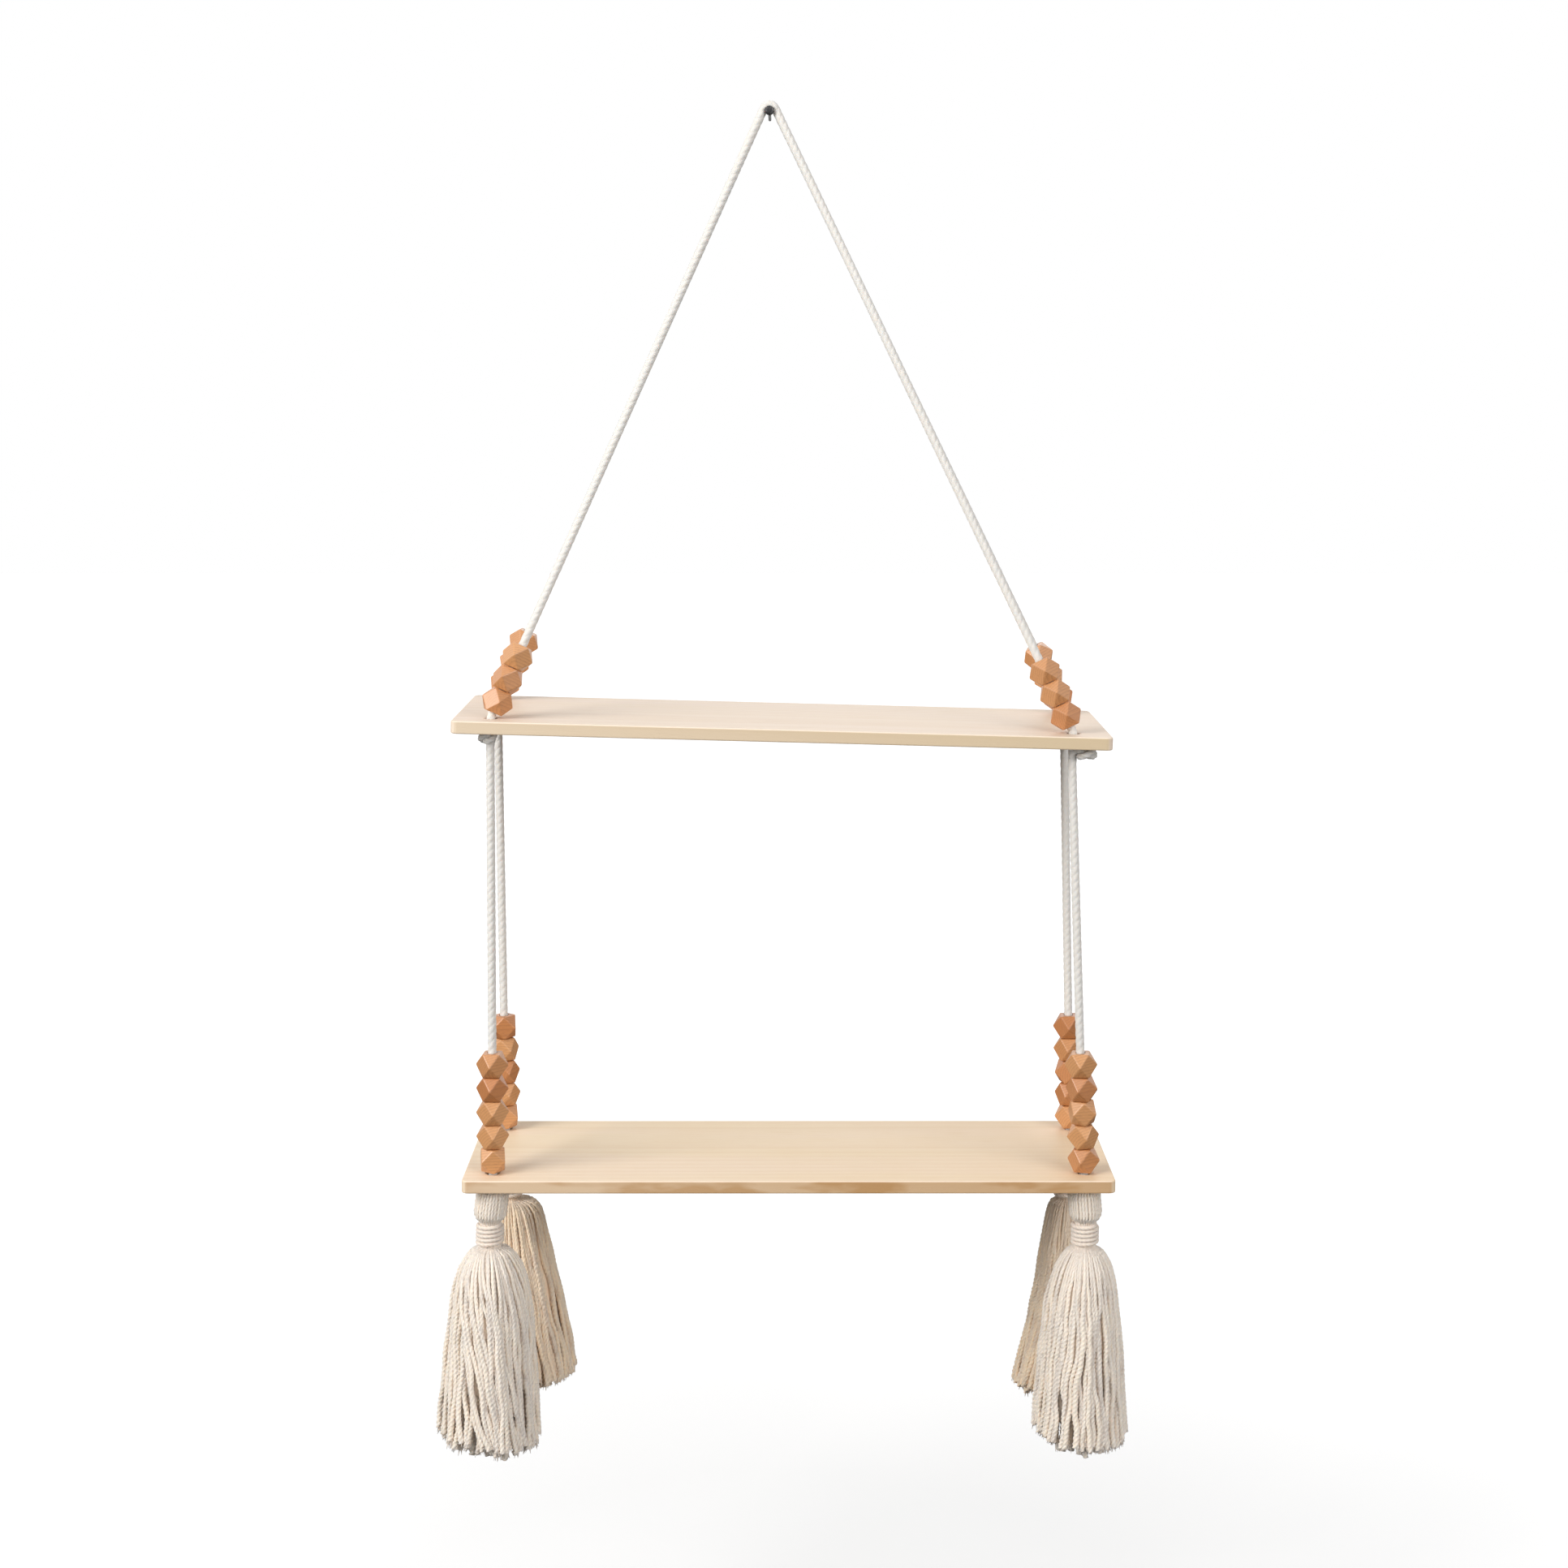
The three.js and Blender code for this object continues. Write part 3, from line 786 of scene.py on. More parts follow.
@dataclass(frozen=True)
class PineFinish:
    """Planed pale pine under a thin clear varnish, with painted shade that makes it darker and warmer toward
    the right, a front edge that is partly stained and partly painted shade, and a pale upper arris that is
    partly wear and partly a painted highlight.
    """

    name: str
    early_wood: Colour
    late_wood: Colour
    # The right end's colour, share and reach are painted shade: darker and warmer away from the light on the
    # left.
    right_painted_shade: Colour
    # The front edge's colour and share are partly a real stain and partly painted shade, which deepens toward
    # the right.
    edge_stain_and_shade: Colour
    edge_share_with_right_shade: float
    edge_start: float
    band_wood: Colour
    edge_streak: float = 0.0
    edge_fade: tuple[float, float] = (0.1 * MM, 0.5 * MM)
    right_shade_share: float = 0.5
    right_shade_reach: float = 0.8
    # The arris colour is partly pale wear and partly a painted highlight.
    arris_wear_and_highlight: Colour = (252, 236, 220)
    arris_depth: tuple[float, float] = (0.2 * MM, 0.9 * MM)
    arris_height: tuple[float, float] = (-0.9 * MM, -0.25 * MM)
    arris_share: float = 0.75
    ring_width: float = 5.2 * MM
    ring_wander: float = 9 * MM
    ring_share: float = 0.4
    grain_stretch: float = 0.05
    pore_share: float = 0.22
    cloud_scale: float = 14.0
    cloud_share: float = 0.4
    band_scale: float = 42.0
    band_stretch: float = 0.06
    band_share: float = 0.7
    streak_scale: float = 60.0
    streak_stretch: float = 0.3
    streak_range: tuple[float, float] = (0.45, 0.75)
    roughness: float = 0.5
    pore_roughness: float = 0.16
    varnish: float = 0.12
    varnish_roughness: float = 0.35
    relief: float = 0.12 * MM
    relief_strength: float = 0.35

    def build(self, effects: Effects, origin: Point, tilt: float, pith: Point) -> bpy.types.Material:
        """Make the material for one board.

        Args:
            effects: The shared shader groups.
            origin: The middle of the board's top.
            tilt: The board's turn about the depth axis, in radians.
            pith: Where the pith line that the growth rings go round lies from the board's middle.

        Returns:
            The material.
        """
        material, graph, shader = start_material(self.name)
        coordinates = graph.add("ShaderNodeTexCoord").outputs["Object"]
        local = graph.add("ShaderNodeMapping", {
            "Vector": coordinates, "Location": origin, "Rotation": (0.0, tilt, 0.0)},
            vector_type="TEXTURE").outputs[0]
        place = graph.vector("ADD", local, tuple(pith))
        grain = effects.grain.place(graph, {
            "Place": place, "Ring Width": self.ring_width, "Wander": self.ring_wander,
            "Grain Stretch": self.grain_stretch}).outputs
        wood = self._wood(effects, graph, place, local, grain)
        graph.feed(shader.inputs["Base Color"], self._front_edge(effects, graph, place, local, wood))
        rough = graph.spread(grain["Pore"], 0.0, 1.0, self.roughness, self.roughness + self.pore_roughness)
        graph.feed(shader.inputs["Roughness"], rough)
        set_plain(shader, {"Coat Weight": self.varnish, "Coat Roughness": self.varnish_roughness})
        add_bump(graph, shader, grain["Height"], self.relief, self.relief_strength)
        return material

    def _wood(self, effects: Effects, graph: Graph, place: Socket, local: Socket,
              grain: bpy.types.NodeOutputs) -> Socket:
        """Mix the wood's colours: pale bands, rings, a painted shade that darkens and warms it toward the
        right, and pores.

        Args:
            effects: The shared shader groups.
            graph: The material's graph.
            place: The place from the pith line.
            local: The place on the board.
            grain: The grain group's outputs.

        Returns:
            The colour.
        """
        cloud = effects.handling.place(graph, {"Place": place, "Scale": self.cloud_scale}).outputs[0]
        bands = effects.handling.place(graph, {
            "Place": graph.vector("MULTIPLY", place, (self.band_stretch, 1.0, 1.0)),
            "Scale": self.band_scale})
        early = graph.blend_colours(graph.times(bands.outputs[0], self.band_share), linear(*self.early_wood),
                                    linear(*self.band_wood))
        tone = graph.blend_colours(graph.times(grain["Ring"], self.ring_share), early,
                                   linear(*self.late_wood))
        along = graph.add("ShaderNodeSeparateXYZ", {0: local}).outputs[0]
        half = LAYOUT.board_length / 2
        # Painted shade: the wood darkens and warms toward the right, varied by the cloudy tone.
        slow = graph.plus(graph.spread(along, -half, half, 0.0, self.right_shade_reach),
                          graph.times(cloud, self.cloud_share))
        right_shaded = graph.blend_colours(graph.times(slow, self.right_shade_share), tone, linear(*self.right_painted_shade))
        return graph.blend_colours(graph.times(grain["Pore"], self.pore_share), right_shaded, linear(*self.late_wood))

    def _front_edge(self, effects: Effects, graph: Graph, place: Socket, local: Socket,
                    wood: Socket) -> Socket:
        """Stain the front edge in uneven streaks, darken it further toward the right with painted shade, and
        pale its upper arris, partly as wear and partly as a painted highlight.

        Args:
            effects: The shared shader groups.
            graph: The material's graph.
            place: The place from the pith line.
            local: The place on the board.
            wood: The wood's colour.

        Returns:
            The colour.
        """
        parts = graph.add("ShaderNodeSeparateXYZ", {0: local}).outputs
        half, front = LAYOUT.board_length / 2, -LAYOUT.board_depth / 2
        streak = effects.handling.place(graph, {
            "Place": graph.vector("MULTIPLY", place, (self.streak_stretch, 1.0, 1.0)),
            "Scale": self.streak_scale})
        # The stain's share rises from left to right: partly real stain, partly painted shade.
        share = graph.plus(graph.spread(parts[0], -half, half, self.edge_start, self.edge_share_with_right_shade),
                           graph.spread(streak.outputs[0], *self.streak_range, 0.0, self.edge_streak))
        edge = graph.times(graph.spread(parts[1], *(front + d for d in self.edge_fade), 1.0, 0.0), share)
        edge_stained_and_shaded = graph.blend_colours(edge, wood, linear(*self.edge_stain_and_shade))
        # Pale arris: partly wear, partly a painted highlight.
        arris = graph.times(graph.spread(parts[1], *(front + d for d in self.arris_depth), 1.0, 0.0),
                            graph.spread(parts[2], *self.arris_height, 0.0, self.arris_share))
        return graph.blend_colours(arris, edge_stained_and_shaded, linear(*self.arris_wear_and_highlight))


@dataclass(frozen=True)
class BeadFinish:
    """Turned hardwood with a caramel stain and a satin varnish."""

    name: str = "caramel_hardwood"
    stain: Colour = (187, 119, 65)
    dark_grain: Colour = (130, 70, 30)
    pale_stain: Colour = (210, 153, 99)
    ring_width: float = 1.7 * MM
    ring_wander: float = 2.5 * MM
    ring_share: float = 0.3
    grain_stretch: float = 0.16
    pore_size: float = 1500.0
    pore_share: float = 0.35
    pith_offset: float = 12 * MM
    tone_offset: float = 13 * MM
    roughness: tuple[float, float] = (0.42, 0.6)
    varnish: float = 0.8
    varnish_roughness: float = 0.4
    relief: float = 0.06 * MM
    relief_strength: float = 0.3

    def build(self, effects: Effects) -> bpy.types.Material:
        """Make the material.

        Args:
            effects: The shared shader groups.

        Returns:
            The material, which reads each bead's tone and bead_place.
        """
        material, graph, shader = start_material(self.name)
        place = graph.add("ShaderNodeAttribute", attribute_name="bead_place").outputs["Vector"]
        tone = graph.add("ShaderNodeAttribute", attribute_name="tone").outputs["Fac"]
        shift = graph.add("ShaderNodeCombineXYZ", {
            0: tone, 1: self.pith_offset, 2: graph.times(tone, self.tone_offset)})
        grain = effects.grain.place(graph, {
            "Place": graph.vector("ADD", place, shift.outputs[0]), "Ring Width": self.ring_width,
            "Wander": self.ring_wander, "Grain Stretch": self.grain_stretch,
            "Pore Size": self.pore_size}).outputs
        base = graph.blend_colours(tone, linear(*self.stain), linear(*self.pale_stain))
        dark = linear(*self.dark_grain)
        ringed = graph.blend_colours(graph.times(grain["Ring"], self.ring_share), base, dark)
        pored = graph.blend_colours(graph.times(grain["Pore"], self.pore_share), ringed, dark)
        graph.feed(shader.inputs["Base Color"], pored)
        graph.feed(shader.inputs["Roughness"], graph.spread(grain["Pore"], 0.0, 1.0, *self.roughness))
        set_plain(shader, {"Coat Weight": self.varnish, "Coat Roughness": self.varnish_roughness})
        add_bump(graph, shader, grain["Height"], self.relief, self.relief_strength)
        return material


@dataclass(frozen=True)
class CottonFinish:
    """Undyed cotton, spun and laid into a cord or a loose yarn."""

    name: str
    high: Colour
    low: Colour
    soil: Colour
    slant: float = 0.8
    relief: float = 0.16 * MM
    relief_strength: float = 0.6
    fuzz: float = 0.25
    fuzz_roughness: float = 0.5
    gloss: float = 0.25
    loft: float = 0.6
    loft_depth: float = 2.2 * MM
    loft_tint: Triple = (1.0, 0.85, 0.7)
    soil_share: float = 0.3
    soil_scale: float = 45.0
    tone_offset: float = 3.1
    roughness: tuple[float, float] = (0.98, 0.84)

    def build(self, effects: Effects) -> bpy.types.Material:
        """Make the material.

        Args:
            effects: The shared shader groups.

        Returns:
            The material, which reads cord_place and tone.
        """
        material, graph, shader = start_material(self.name)
        place = graph.add("ShaderNodeAttribute", attribute_name="cord_place").outputs["Vector"]
        tone = graph.add("ShaderNodeAttribute", attribute_name="tone").outputs["Fac"]
        offset = graph.add("ShaderNodeCombineXYZ", {2: graph.times(tone, self.tone_offset)})
        own = graph.vector("ADD", place, offset.outputs[0])
        fibres = effects.fibres.place(graph, {"Place": own, "Slant": self.slant}).outputs
        cloud = effects.handling.place(graph, {"Place": own, "Scale": self.soil_scale}).outputs[0]
        spun = graph.blend_colours(fibres["Shade"], linear(*self.low), linear(*self.high))
        soiled = graph.blend_colours(graph.times(graph.plus(cloud, tone), self.soil_share), spun,
                                     linear(*self.soil))
        graph.feed(shader.inputs["Base Color"], soiled)
        graph.feed(shader.inputs["Roughness"], graph.spread(fibres["Shade"], 0.0, 1.0, *self.roughness))
        set_plain(shader, {
            "Sheen Weight": self.fuzz, "Sheen Roughness": self.fuzz_roughness,
            "Specular IOR Level": self.gloss, "Subsurface Weight": self.loft,
            "Subsurface Radius": self.loft_tint, "Subsurface Scale": self.loft_depth})
        add_bump(graph, shader, fibres["Height"], self.relief, self.relief_strength)
        return material


@dataclass(frozen=True)
class NailFinish:
    """A dark oxidised steel head with a few rubbed, brighter places, on a pale zinc shank."""

    name: str = "oxidised_steel"
    scale: Colour = (52, 52, 54)
    rubbed: Colour = (104, 102, 100)
    zinc: Colour = (214, 214, 212)
    wear_scale: float = 900.0
    wear_range: tuple[float, float] = (0.55, 0.95)
    wear_share: float = 0.7
    roughness: tuple[float, float] = (0.58, 0.38)
    bare_metal: tuple[float, float] = (0.6, 0.95)
    shank_fade: tuple[float, float] = (0.1 * MM, 0.6 * MM)
    relief: float = 0.05 * MM
    relief_strength: float = 0.3

    def build(self, effects: Effects) -> bpy.types.Material:
        """Make the material.

        Args:
            effects: The shared shader groups.

        Returns:
            The material.
        """
        material, graph, shader = start_material(self.name)
        place = graph.add("ShaderNodeTexCoord").outputs["Object"]
        cloud = effects.handling.place(graph, {"Place": place, "Scale": self.wear_scale}).outputs[0]
        worn = graph.spread(cloud, *self.wear_range, 0.0, self.wear_share)
        head = graph.blend_colours(worn, linear(*self.scale), linear(*self.rubbed))
        back = -(LAYOUT.front_standoff + LAYOUT.rope_radius + LAYOUT.seat_gap)
        depth = graph.add("ShaderNodeSeparateXYZ", {0: place}).outputs[1]
        behind = graph.spread(depth, *(back + d for d in self.shank_fade), 0.0, 1.0)
        graph.feed(shader.inputs["Base Color"], graph.blend_colours(behind, head, linear(*self.zinc)))
        graph.feed(shader.inputs["Roughness"], graph.spread(cloud, 0.0, 1.0, *self.roughness))
        graph.feed(shader.inputs["Metallic"], graph.spread(cloud, 0.0, 1.0, *self.bare_metal))
        add_bump(graph, shader, cloud, self.relief, self.relief_strength)
        return material


# On both boards the right end's colour is painted shade, the front edge is partly stained and partly painted
# shade, and the arris is partly worn and partly painted highlight.
UPPER_PINE = PineFinish(
    "pale_pine_upper", early_wood=(237, 219, 205), late_wood=(224, 200, 176), right_painted_shade=(231, 211, 187),
    edge_stain_and_shade=(210, 188, 151), edge_share_with_right_shade=0.84, edge_start=0.45, band_wood=(235, 218, 193))
LOWER_PINE = PineFinish(
    "pale_pine_lower", early_wood=(245, 225, 203), late_wood=(227, 198, 160), right_painted_shade=(234, 203, 163),
    edge_stain_and_shade=(184, 137, 82), edge_share_with_right_shade=0.66, edge_start=0.32, band_wood=(241, 223, 188), edge_streak=0.35)
ROPE_COTTON = CottonFinish(
    "rope_cotton", (231, 229, 225), (225, 222, 217), (227, 222, 216), relief=0.05 * MM, loft=0.3)
YARN_COTTON = CottonFinish(
    "tassel_cotton", (255, 245, 234), (250, 231, 214), (252, 233, 213),
    slant=0.35, relief=0.18 * MM, fuzz=0.4, loft=0.4)
# The rear tassels' yarn is a browner, darker copy of the front yarn: painted shade.
REAR_YARN_PAINTED_SHADE = CottonFinish(
    "tassel_cotton_rear_painted_shade", (255, 236, 213), (250, 219, 190), (250, 219, 186),
    slant=0.35, relief=0.18 * MM, fuzz=0.4, loft=0.4)
BINDING_COTTON = CottonFinish(
    "binding_cotton", (241, 228, 217), (236, 220, 206), (238, 221, 206), slant=0.6, loft=0.5)


# Where the pith that each board's growth rings go round lies, from the middle of the board's top
UPPER_PITH = Vector((0.31, 0.025, 0.046))
LOWER_PITH = Vector((-0.12, -0.025, 0.049))


class Materials:
    """Every finish as a built material."""

    def __init__(self) -> None:
        """Build the shared effects and then each material."""
        effects = Effects()
        self.upper_pine = UPPER_PINE.build(effects, LAYOUT.upper_point(0, 0, 0), LAYOUT.tilt, UPPER_PITH)
        self.lower_pine = LOWER_PINE.build(effects, LAYOUT.lower_point(0, 0, 0), 0.0, LOWER_PITH)
        self.bead = BeadFinish().build(effects)
        self.rope = ROPE_COTTON.build(effects)
        self.yarn = YARN_COTTON.build(effects)
        self.rear_yarn_painted_shade = REAR_YARN_PAINTED_SHADE.build(effects)
        self.binding = BINDING_COTTON.build(effects)
        self.nail = NailFinish().build(effects)


@dataclass
class CordBuilder:
    """Makes laid cords of any thickness along given lines."""

    tree: TwistedCordTree = field(default_factory=TwistedCordTree)
    strands: int = 3
    rope_lay: float = 15 * MM
    rope_step: float = 1.1 * MM
    rope_crease: float = 0.1

    def lay(self, name: str, lines: Sequence[Polyline], radius: float, material: bpy.types.Material, *,
            lay: float, step: float, tones: Sequence[float], points: int = 8, crease: float = 0.2,
            closed: bool = False, girths: Sequence[Sequence[float]] | None = None) -> bpy.types.Object:
        """Lay one or more cords and join them in one mesh.

        Args:
            name: The piece's name.
            lines: The cords' middle lines.
            radius: Their radius over the strands.
            material: Their material.
            lay: The length of one full turn of a strand.
            step: The length of one step of the mesh.
            tones: A tone from 0 to 1 for each line.
            points: How many points the section has for each strand.
            crease: The depth between strands as a share of the radius.
            closed: True where each line is a loop.
            girths: A share of the radius for each point.

        Returns:
            The new piece.
        """
        values = {
            "girth": girths or [[1.0] * len(line) for line in lines],
            "tone": [[tone] * len(line) for tone, line in zip(tones, lines)],
        }
        base = polyline_mesh(name + "_lines", lines, closed, values)
        made = self.tree.bake(base, name, {
            "Radius": radius, "Lay": lay, "Step": step, "Strands": self.strands, "Points Per Strand": points,
            "Crease": crease, "Material": material})
        smooth_closed_mesh(made.data)
        return made

    def rope(self, name: str, route: Polyline, material: bpy.types.Material, tone: float) -> bpy.types.Object:
        """Lay one run of the shelf's own rope along a route, in a tone from 0 to 1."""
        return self.lay(name, [route], LAYOUT.rope_radius, material, lay=self.rope_lay, step=self.rope_step,
                        crease=self.rope_crease, tones=[tone])


@dataclass
class UpperRope:
    """One rope from a knot under the upper board, up over the nail and down to the opposite knot."""

    row: Row
    turn_reach: float = 3 * MM
    arc_points: int = 13
    bend_start: float = 3 * MM
    bend_end: float = 32 * MM
    tone: float = 0.3

    def route(self) -> Polyline:
        """Find the rope's middle line.

        Returns:
            The line from the rope's left end to its right end.
        """
        left_tangent, left_foot, left_angle = LAYOUT.fall(self.row.left)
        right_tangent, right_foot, right_angle = LAYOUT.fall(self.row.right)
        inside = LAYOUT.stub_end + LAYOUT.rope_radius
        left = rounded([LAYOUT.upper_hole(self.row.left, inside), left_foot, left_tangent], self.turn_reach)
        right = rounded([right_tangent, right_foot, LAYOUT.upper_hole(self.row.right, inside)],
                        self.turn_reach)
        arc: Polyline = []
        for i in range(1, self.arc_points):
            angle = left_angle + (right_angle - left_angle) * i / self.arc_points
            height = LAYOUT.crown_radius * math.cos(angle)
            arc.append(Vector((LAYOUT.crown_radius * math.sin(angle), left_tangent.y, height)))
        return left + arc + right

    def build(self, cords: CordBuilder, material: bpy.types.Material) -> bpy.types.Object:
        """Args:
            cords: The cord builder.
            material: The rope's material.

        Returns:
            The rope.
        """
        route = self.route()
        rope = cords.rope(f"upper_rope_{self.row.value}", route, material, self.tone)
        enlist(rope, [f"rope_crown_{self.row.value}"])
        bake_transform(rope)
        return rope


@dataclass
class StopperKnot:
    """The overhand knot that holds the upper board up on one fall."""

    corner: Corner
    left_width: float = 13 * MM
    right_width: float = 18 * MM
    left_outset: float = 1.5 * MM
    right_outset: float = 7.5 * MM
    crossings: int = 3
    windings: int = 2
    turn: float = 0.7
    rear_turn: float = 1.1
    depth: float = 1.9 * MM
    pulled_thin: float = 0.74
    strand_lay: float = 11 * MM
    points: int = 96
    step: float = 0.9 * MM
    tone: float = 0.45

    @property
    def strand_radius(self) -> float:
        """The pulled rope in the knot is a little thinner than the free rope."""
        return LAYOUT.rope_radius * self.pulled_thin

    def route(self) -> Polyline:
        """Find the knot's middle line.

        Returns:
            One closed loop that passes over and under itself three times round the rope.
        """
        left = self.corner.side < 0
        width = self.left_width if left else self.right_width
        outset = -self.left_outset if left else self.right_outset
        along, across = LAYOUT.hole(self.corner, LAYOUT.upper_insets)
        middle = -LAYOUT.board_thickness - LAYOUT.seat_gap - LAYOUT.knot_height / 2
        reach = (width / 2 - self.strand_radius) / self.crossings
        start = self.turn * self.corner.side + (0 if self.corner.front else self.rear_turn)
        line: Polyline = []
        for i in range(self.points):
            t = math.tau * i / self.points
            out = reach * (self.windings + math.cos(self.crossings * t))
            line.append(LAYOUT.upper_point(
                along + outset + out * math.cos(self.windings * t + start),
                across + out * math.sin(self.windings * t + start),
                middle + self.depth * math.sin(self.crossings * t)))
        return line

    def build(self, cords: CordBuilder, material: bpy.types.Material) -> bpy.types.Object:
        """Make the knot and let it ride with the upper board.

        Args:
            cords: The cord builder.
            material: The rope's material.

        Returns:
            The knot.
        """
        line = self.route()
        loop = line_length(line + line[:1])
        knot = cords.lay(f"stopper_knot_{self.corner.value}", [line], self.strand_radius, material,
                         lay=loop / round(loop / self.strand_lay), step=self.step, closed=True,
                         tones=[self.tone])
        enlist(knot, [f"upper_fall_{self.corner.value}"], "upper_shelf")
        return knot


@dataclass
class MiddleRope:
    """The rope from one knot down through the lower board."""

    corner: Corner
    turn_reach: float = 2 * MM
    bend_length: float = 14 * MM
    bend_above: float = 0.25
    front_tone: float = 0.3
    rear_tone: float = 0.7

    def build(self, cords: CordBuilder, material: bpy.types.Material) -> bpy.types.Object:
        """Args:
            cords: The cord builder.
            material: The rope's material.

        Returns:
            The rope.
        """
        pivot, through = LAYOUT.middle_run(self.corner)
        start = LAYOUT.upper_hole(self.corner, LAYOUT.stub_end + LAYOUT.rope_radius)
        along = (through - pivot).normalized()
        end = through + along * (LAYOUT.board_thickness / 2 - LAYOUT.rope_end_inset)
        route = rounded([start, pivot, end], self.turn_reach)
        rope = cords.rope(f"middle_rope_{self.corner.value}_run", route, material,
                          self.front_tone if self.corner.front else self.rear_tone)
        enlist(rope, [f"middle_fall_{self.corner.value}"])
        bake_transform(rope)
        return rope


@dataclass
class BeadColumns:
    """Every column of faceted beads, threaded from one shared bead."""

    size: float = 14.8 * MM
    gap: float = 0.3 * MM
    bore_radius: float = 3.15 * MM
    bore_sides: int = 24
    arris: float = 0.6 * MM
    arris_steps: int = 2
    arris_profile: float = 0.6
    flat_angle: float = 0.01
    board_gap: float = 1.3 * MM
    corner_gap: float = 0.4 * MM
    upper_seed: int = 11
    lower_seed: int = 23
    upper_spins: dict[Corner, tuple[int, ...]] = field(default_factory=lambda: by_corner(
        (58, 28, 36), (40, 50, 41), (45, 48, 43), (38, 52, 31)))
    lower_spins: dict[Corner, tuple[int, ...]] = field(default_factory=lambda: by_corner(
        (9, 53, 52, 42, 41), (12, 66, 68, -15, 8), (26, 51, 6, 24, 35), (47, 21, 60, 34, 40)))

    def bead(self) -> bpy.types.Object:
        """Make one bored, fourteen-sided bead with softened edges, at the origin.

        Returns:
            The bead, whose points keep their own place as bead_place.
        """
        half = self.size / 2
        work = bmesh.new()
        for a in (-half, half):
            for b in (-half, half):
                for place in ((a, b, 0), (a, 0, b), (0, a, b)):
                    work.verts.new(place)
        bmesh.ops.convex_hull(work, input=work.verts)
        bmesh.ops.dissolve_limit(work, angle_limit=self.flat_angle, verts=work.verts,
                                 edges=work.edges)
        bmesh.ops.bevel(work, geom=work.edges[:], offset=self.arris, segments=self.arris_steps,
                        profile=self.arris_profile, affect="EDGES", clamp_overlap=True)
        bmesh.ops.recalc_face_normals(work, faces=work.faces)
        solid = linked("bead_solid", work)
        work = bmesh.new()
        bmesh.ops.create_cone(work, cap_ends=True, segments=self.bore_sides, radius1=self.bore_radius,
                              radius2=self.bore_radius, depth=2 * self.size)
        bore = linked("bead_bore", work)
        cut = solid.modifiers.new("bore", "BOOLEAN")
        cut.operation = "DIFFERENCE"
        cut.solver = "EXACT"
        cut.object = bore
        depsgraph = bpy.context.evaluated_depsgraph_get()
        mesh = bpy.data.meshes.new_from_object(solid.evaluated_get(depsgraph), depsgraph=depsgraph)
        layer = mesh.attributes.new("bead_place", "FLOAT_VECTOR", "POINT")
        layer.data.foreach_set("vector", [c for vertex in mesh.vertices for c in vertex.co])
        mesh.name = "bead"
        for spare in (solid, bore):
            bpy.data.objects.remove(spare)
        return link_mesh("bead", mesh)

    def upper_start(self, corner: Corner) -> tuple[Point, Vector]:
        """Find where a column above the upper board starts.

        Args:
            corner: The column's corner.

        Returns:
            The lowest bead's bottom and the way up along the rope.
        """
        tangent, foot, _ = LAYOUT.fall(corner)
        up = (tangent - foot).normalized()
        normal = LAYOUT.upper_point(0, 0, 1) - LAYOUT.upper_point(0, 0, 0)
        rise = up.dot(normal)
        lean = math.sqrt(1 - rise * rise)
        return foot + up * ((self.corner_gap + self.size / 2 * lean - LAYOUT.turn_height) / rise), up

    def lower_start(self, corner: Corner) -> tuple[Point, Vector]:
        """Find where a column above the lower board starts.

        Args:
            corner: The column's corner.

        Returns:
            The lowest bead's bottom and the way up along the rope.
        """
        pivot, through = LAYOUT.middle_run(corner)
        up = (pivot - through).normalized()
        return LAYOUT.lower_hole(corner, 0) + up * self.board_gap, up

    def thread(self, row: str, corner: Corner, start: Point, up: Vector, spins: Sequence[int], seed: int,
               tree: BeadColumnTree, bead: bpy.types.Object,
               material: bpy.types.Material) -> bpy.types.Object:
        """Thread one column and let it ride on its own body.

        Args:
            row: "upper" or "lower", for the board it stands on.
            corner: The column's corner.
            start: The bottom of its lowest bead.
            up: The way up along the rope.
            spins: Each bead's turn about the rope, in degrees.
            seed: The seed of the beads' tones.
            tree: The threading tree.
            bead: The bead to copy.
            material: The beads' material.

        Returns:
            The column.
        """
        name = f"{row}_bead_{corner.value}"
        line = [start + up * (self.size / 2 + i * (self.size + self.gap)) for i in range(len(spins))]
        chance = random.Random(seed)
        base = polyline_mesh(name + "_line", [line], values={
            "spin": [[math.radians(spin) for spin in spins]], "tone": [[chance.random() for _ in spins]]})
        column = tree.bake(base, name + "_column", {"Bead": bead, "Axis": tuple(up), "Material": material})
        enlist(column, [f"{name}_{i + 1}" for i in range(len(spins))], f"{row}_beads_{corner.value}")
        return column

    def build(self, material: bpy.types.Material) -> list[bpy.types.Object]:
        """Thread all eight columns.

        Args:
            material: The beads' material.

        Returns:
            The columns.
        """
        tree, bead = BeadColumnTree(), self.bead()
        made = []
        for number, corner in enumerate(Corner):
            made.append(self.thread("upper", corner, *self.upper_start(corner), self.upper_spins[corner],
                                    self.upper_seed + number, tree, bead, material))
            made.append(self.thread("lower", corner, *self.lower_start(corner), self.lower_spins[corner],
                                    self.lower_seed + number, tree, bead, material))
        bpy.data.objects.remove(bead)
        return made


@dataclass(frozen=True)
class YarnRing:
    """One ring of yarns in a tassel."""

    count: int
    reach: float
    from_head: bool = False


@dataclass(frozen=True)
class LooseLock:
    """A few yarns that lie over the others and cross them on their way down."""

    count: int
    start: float
    end: float


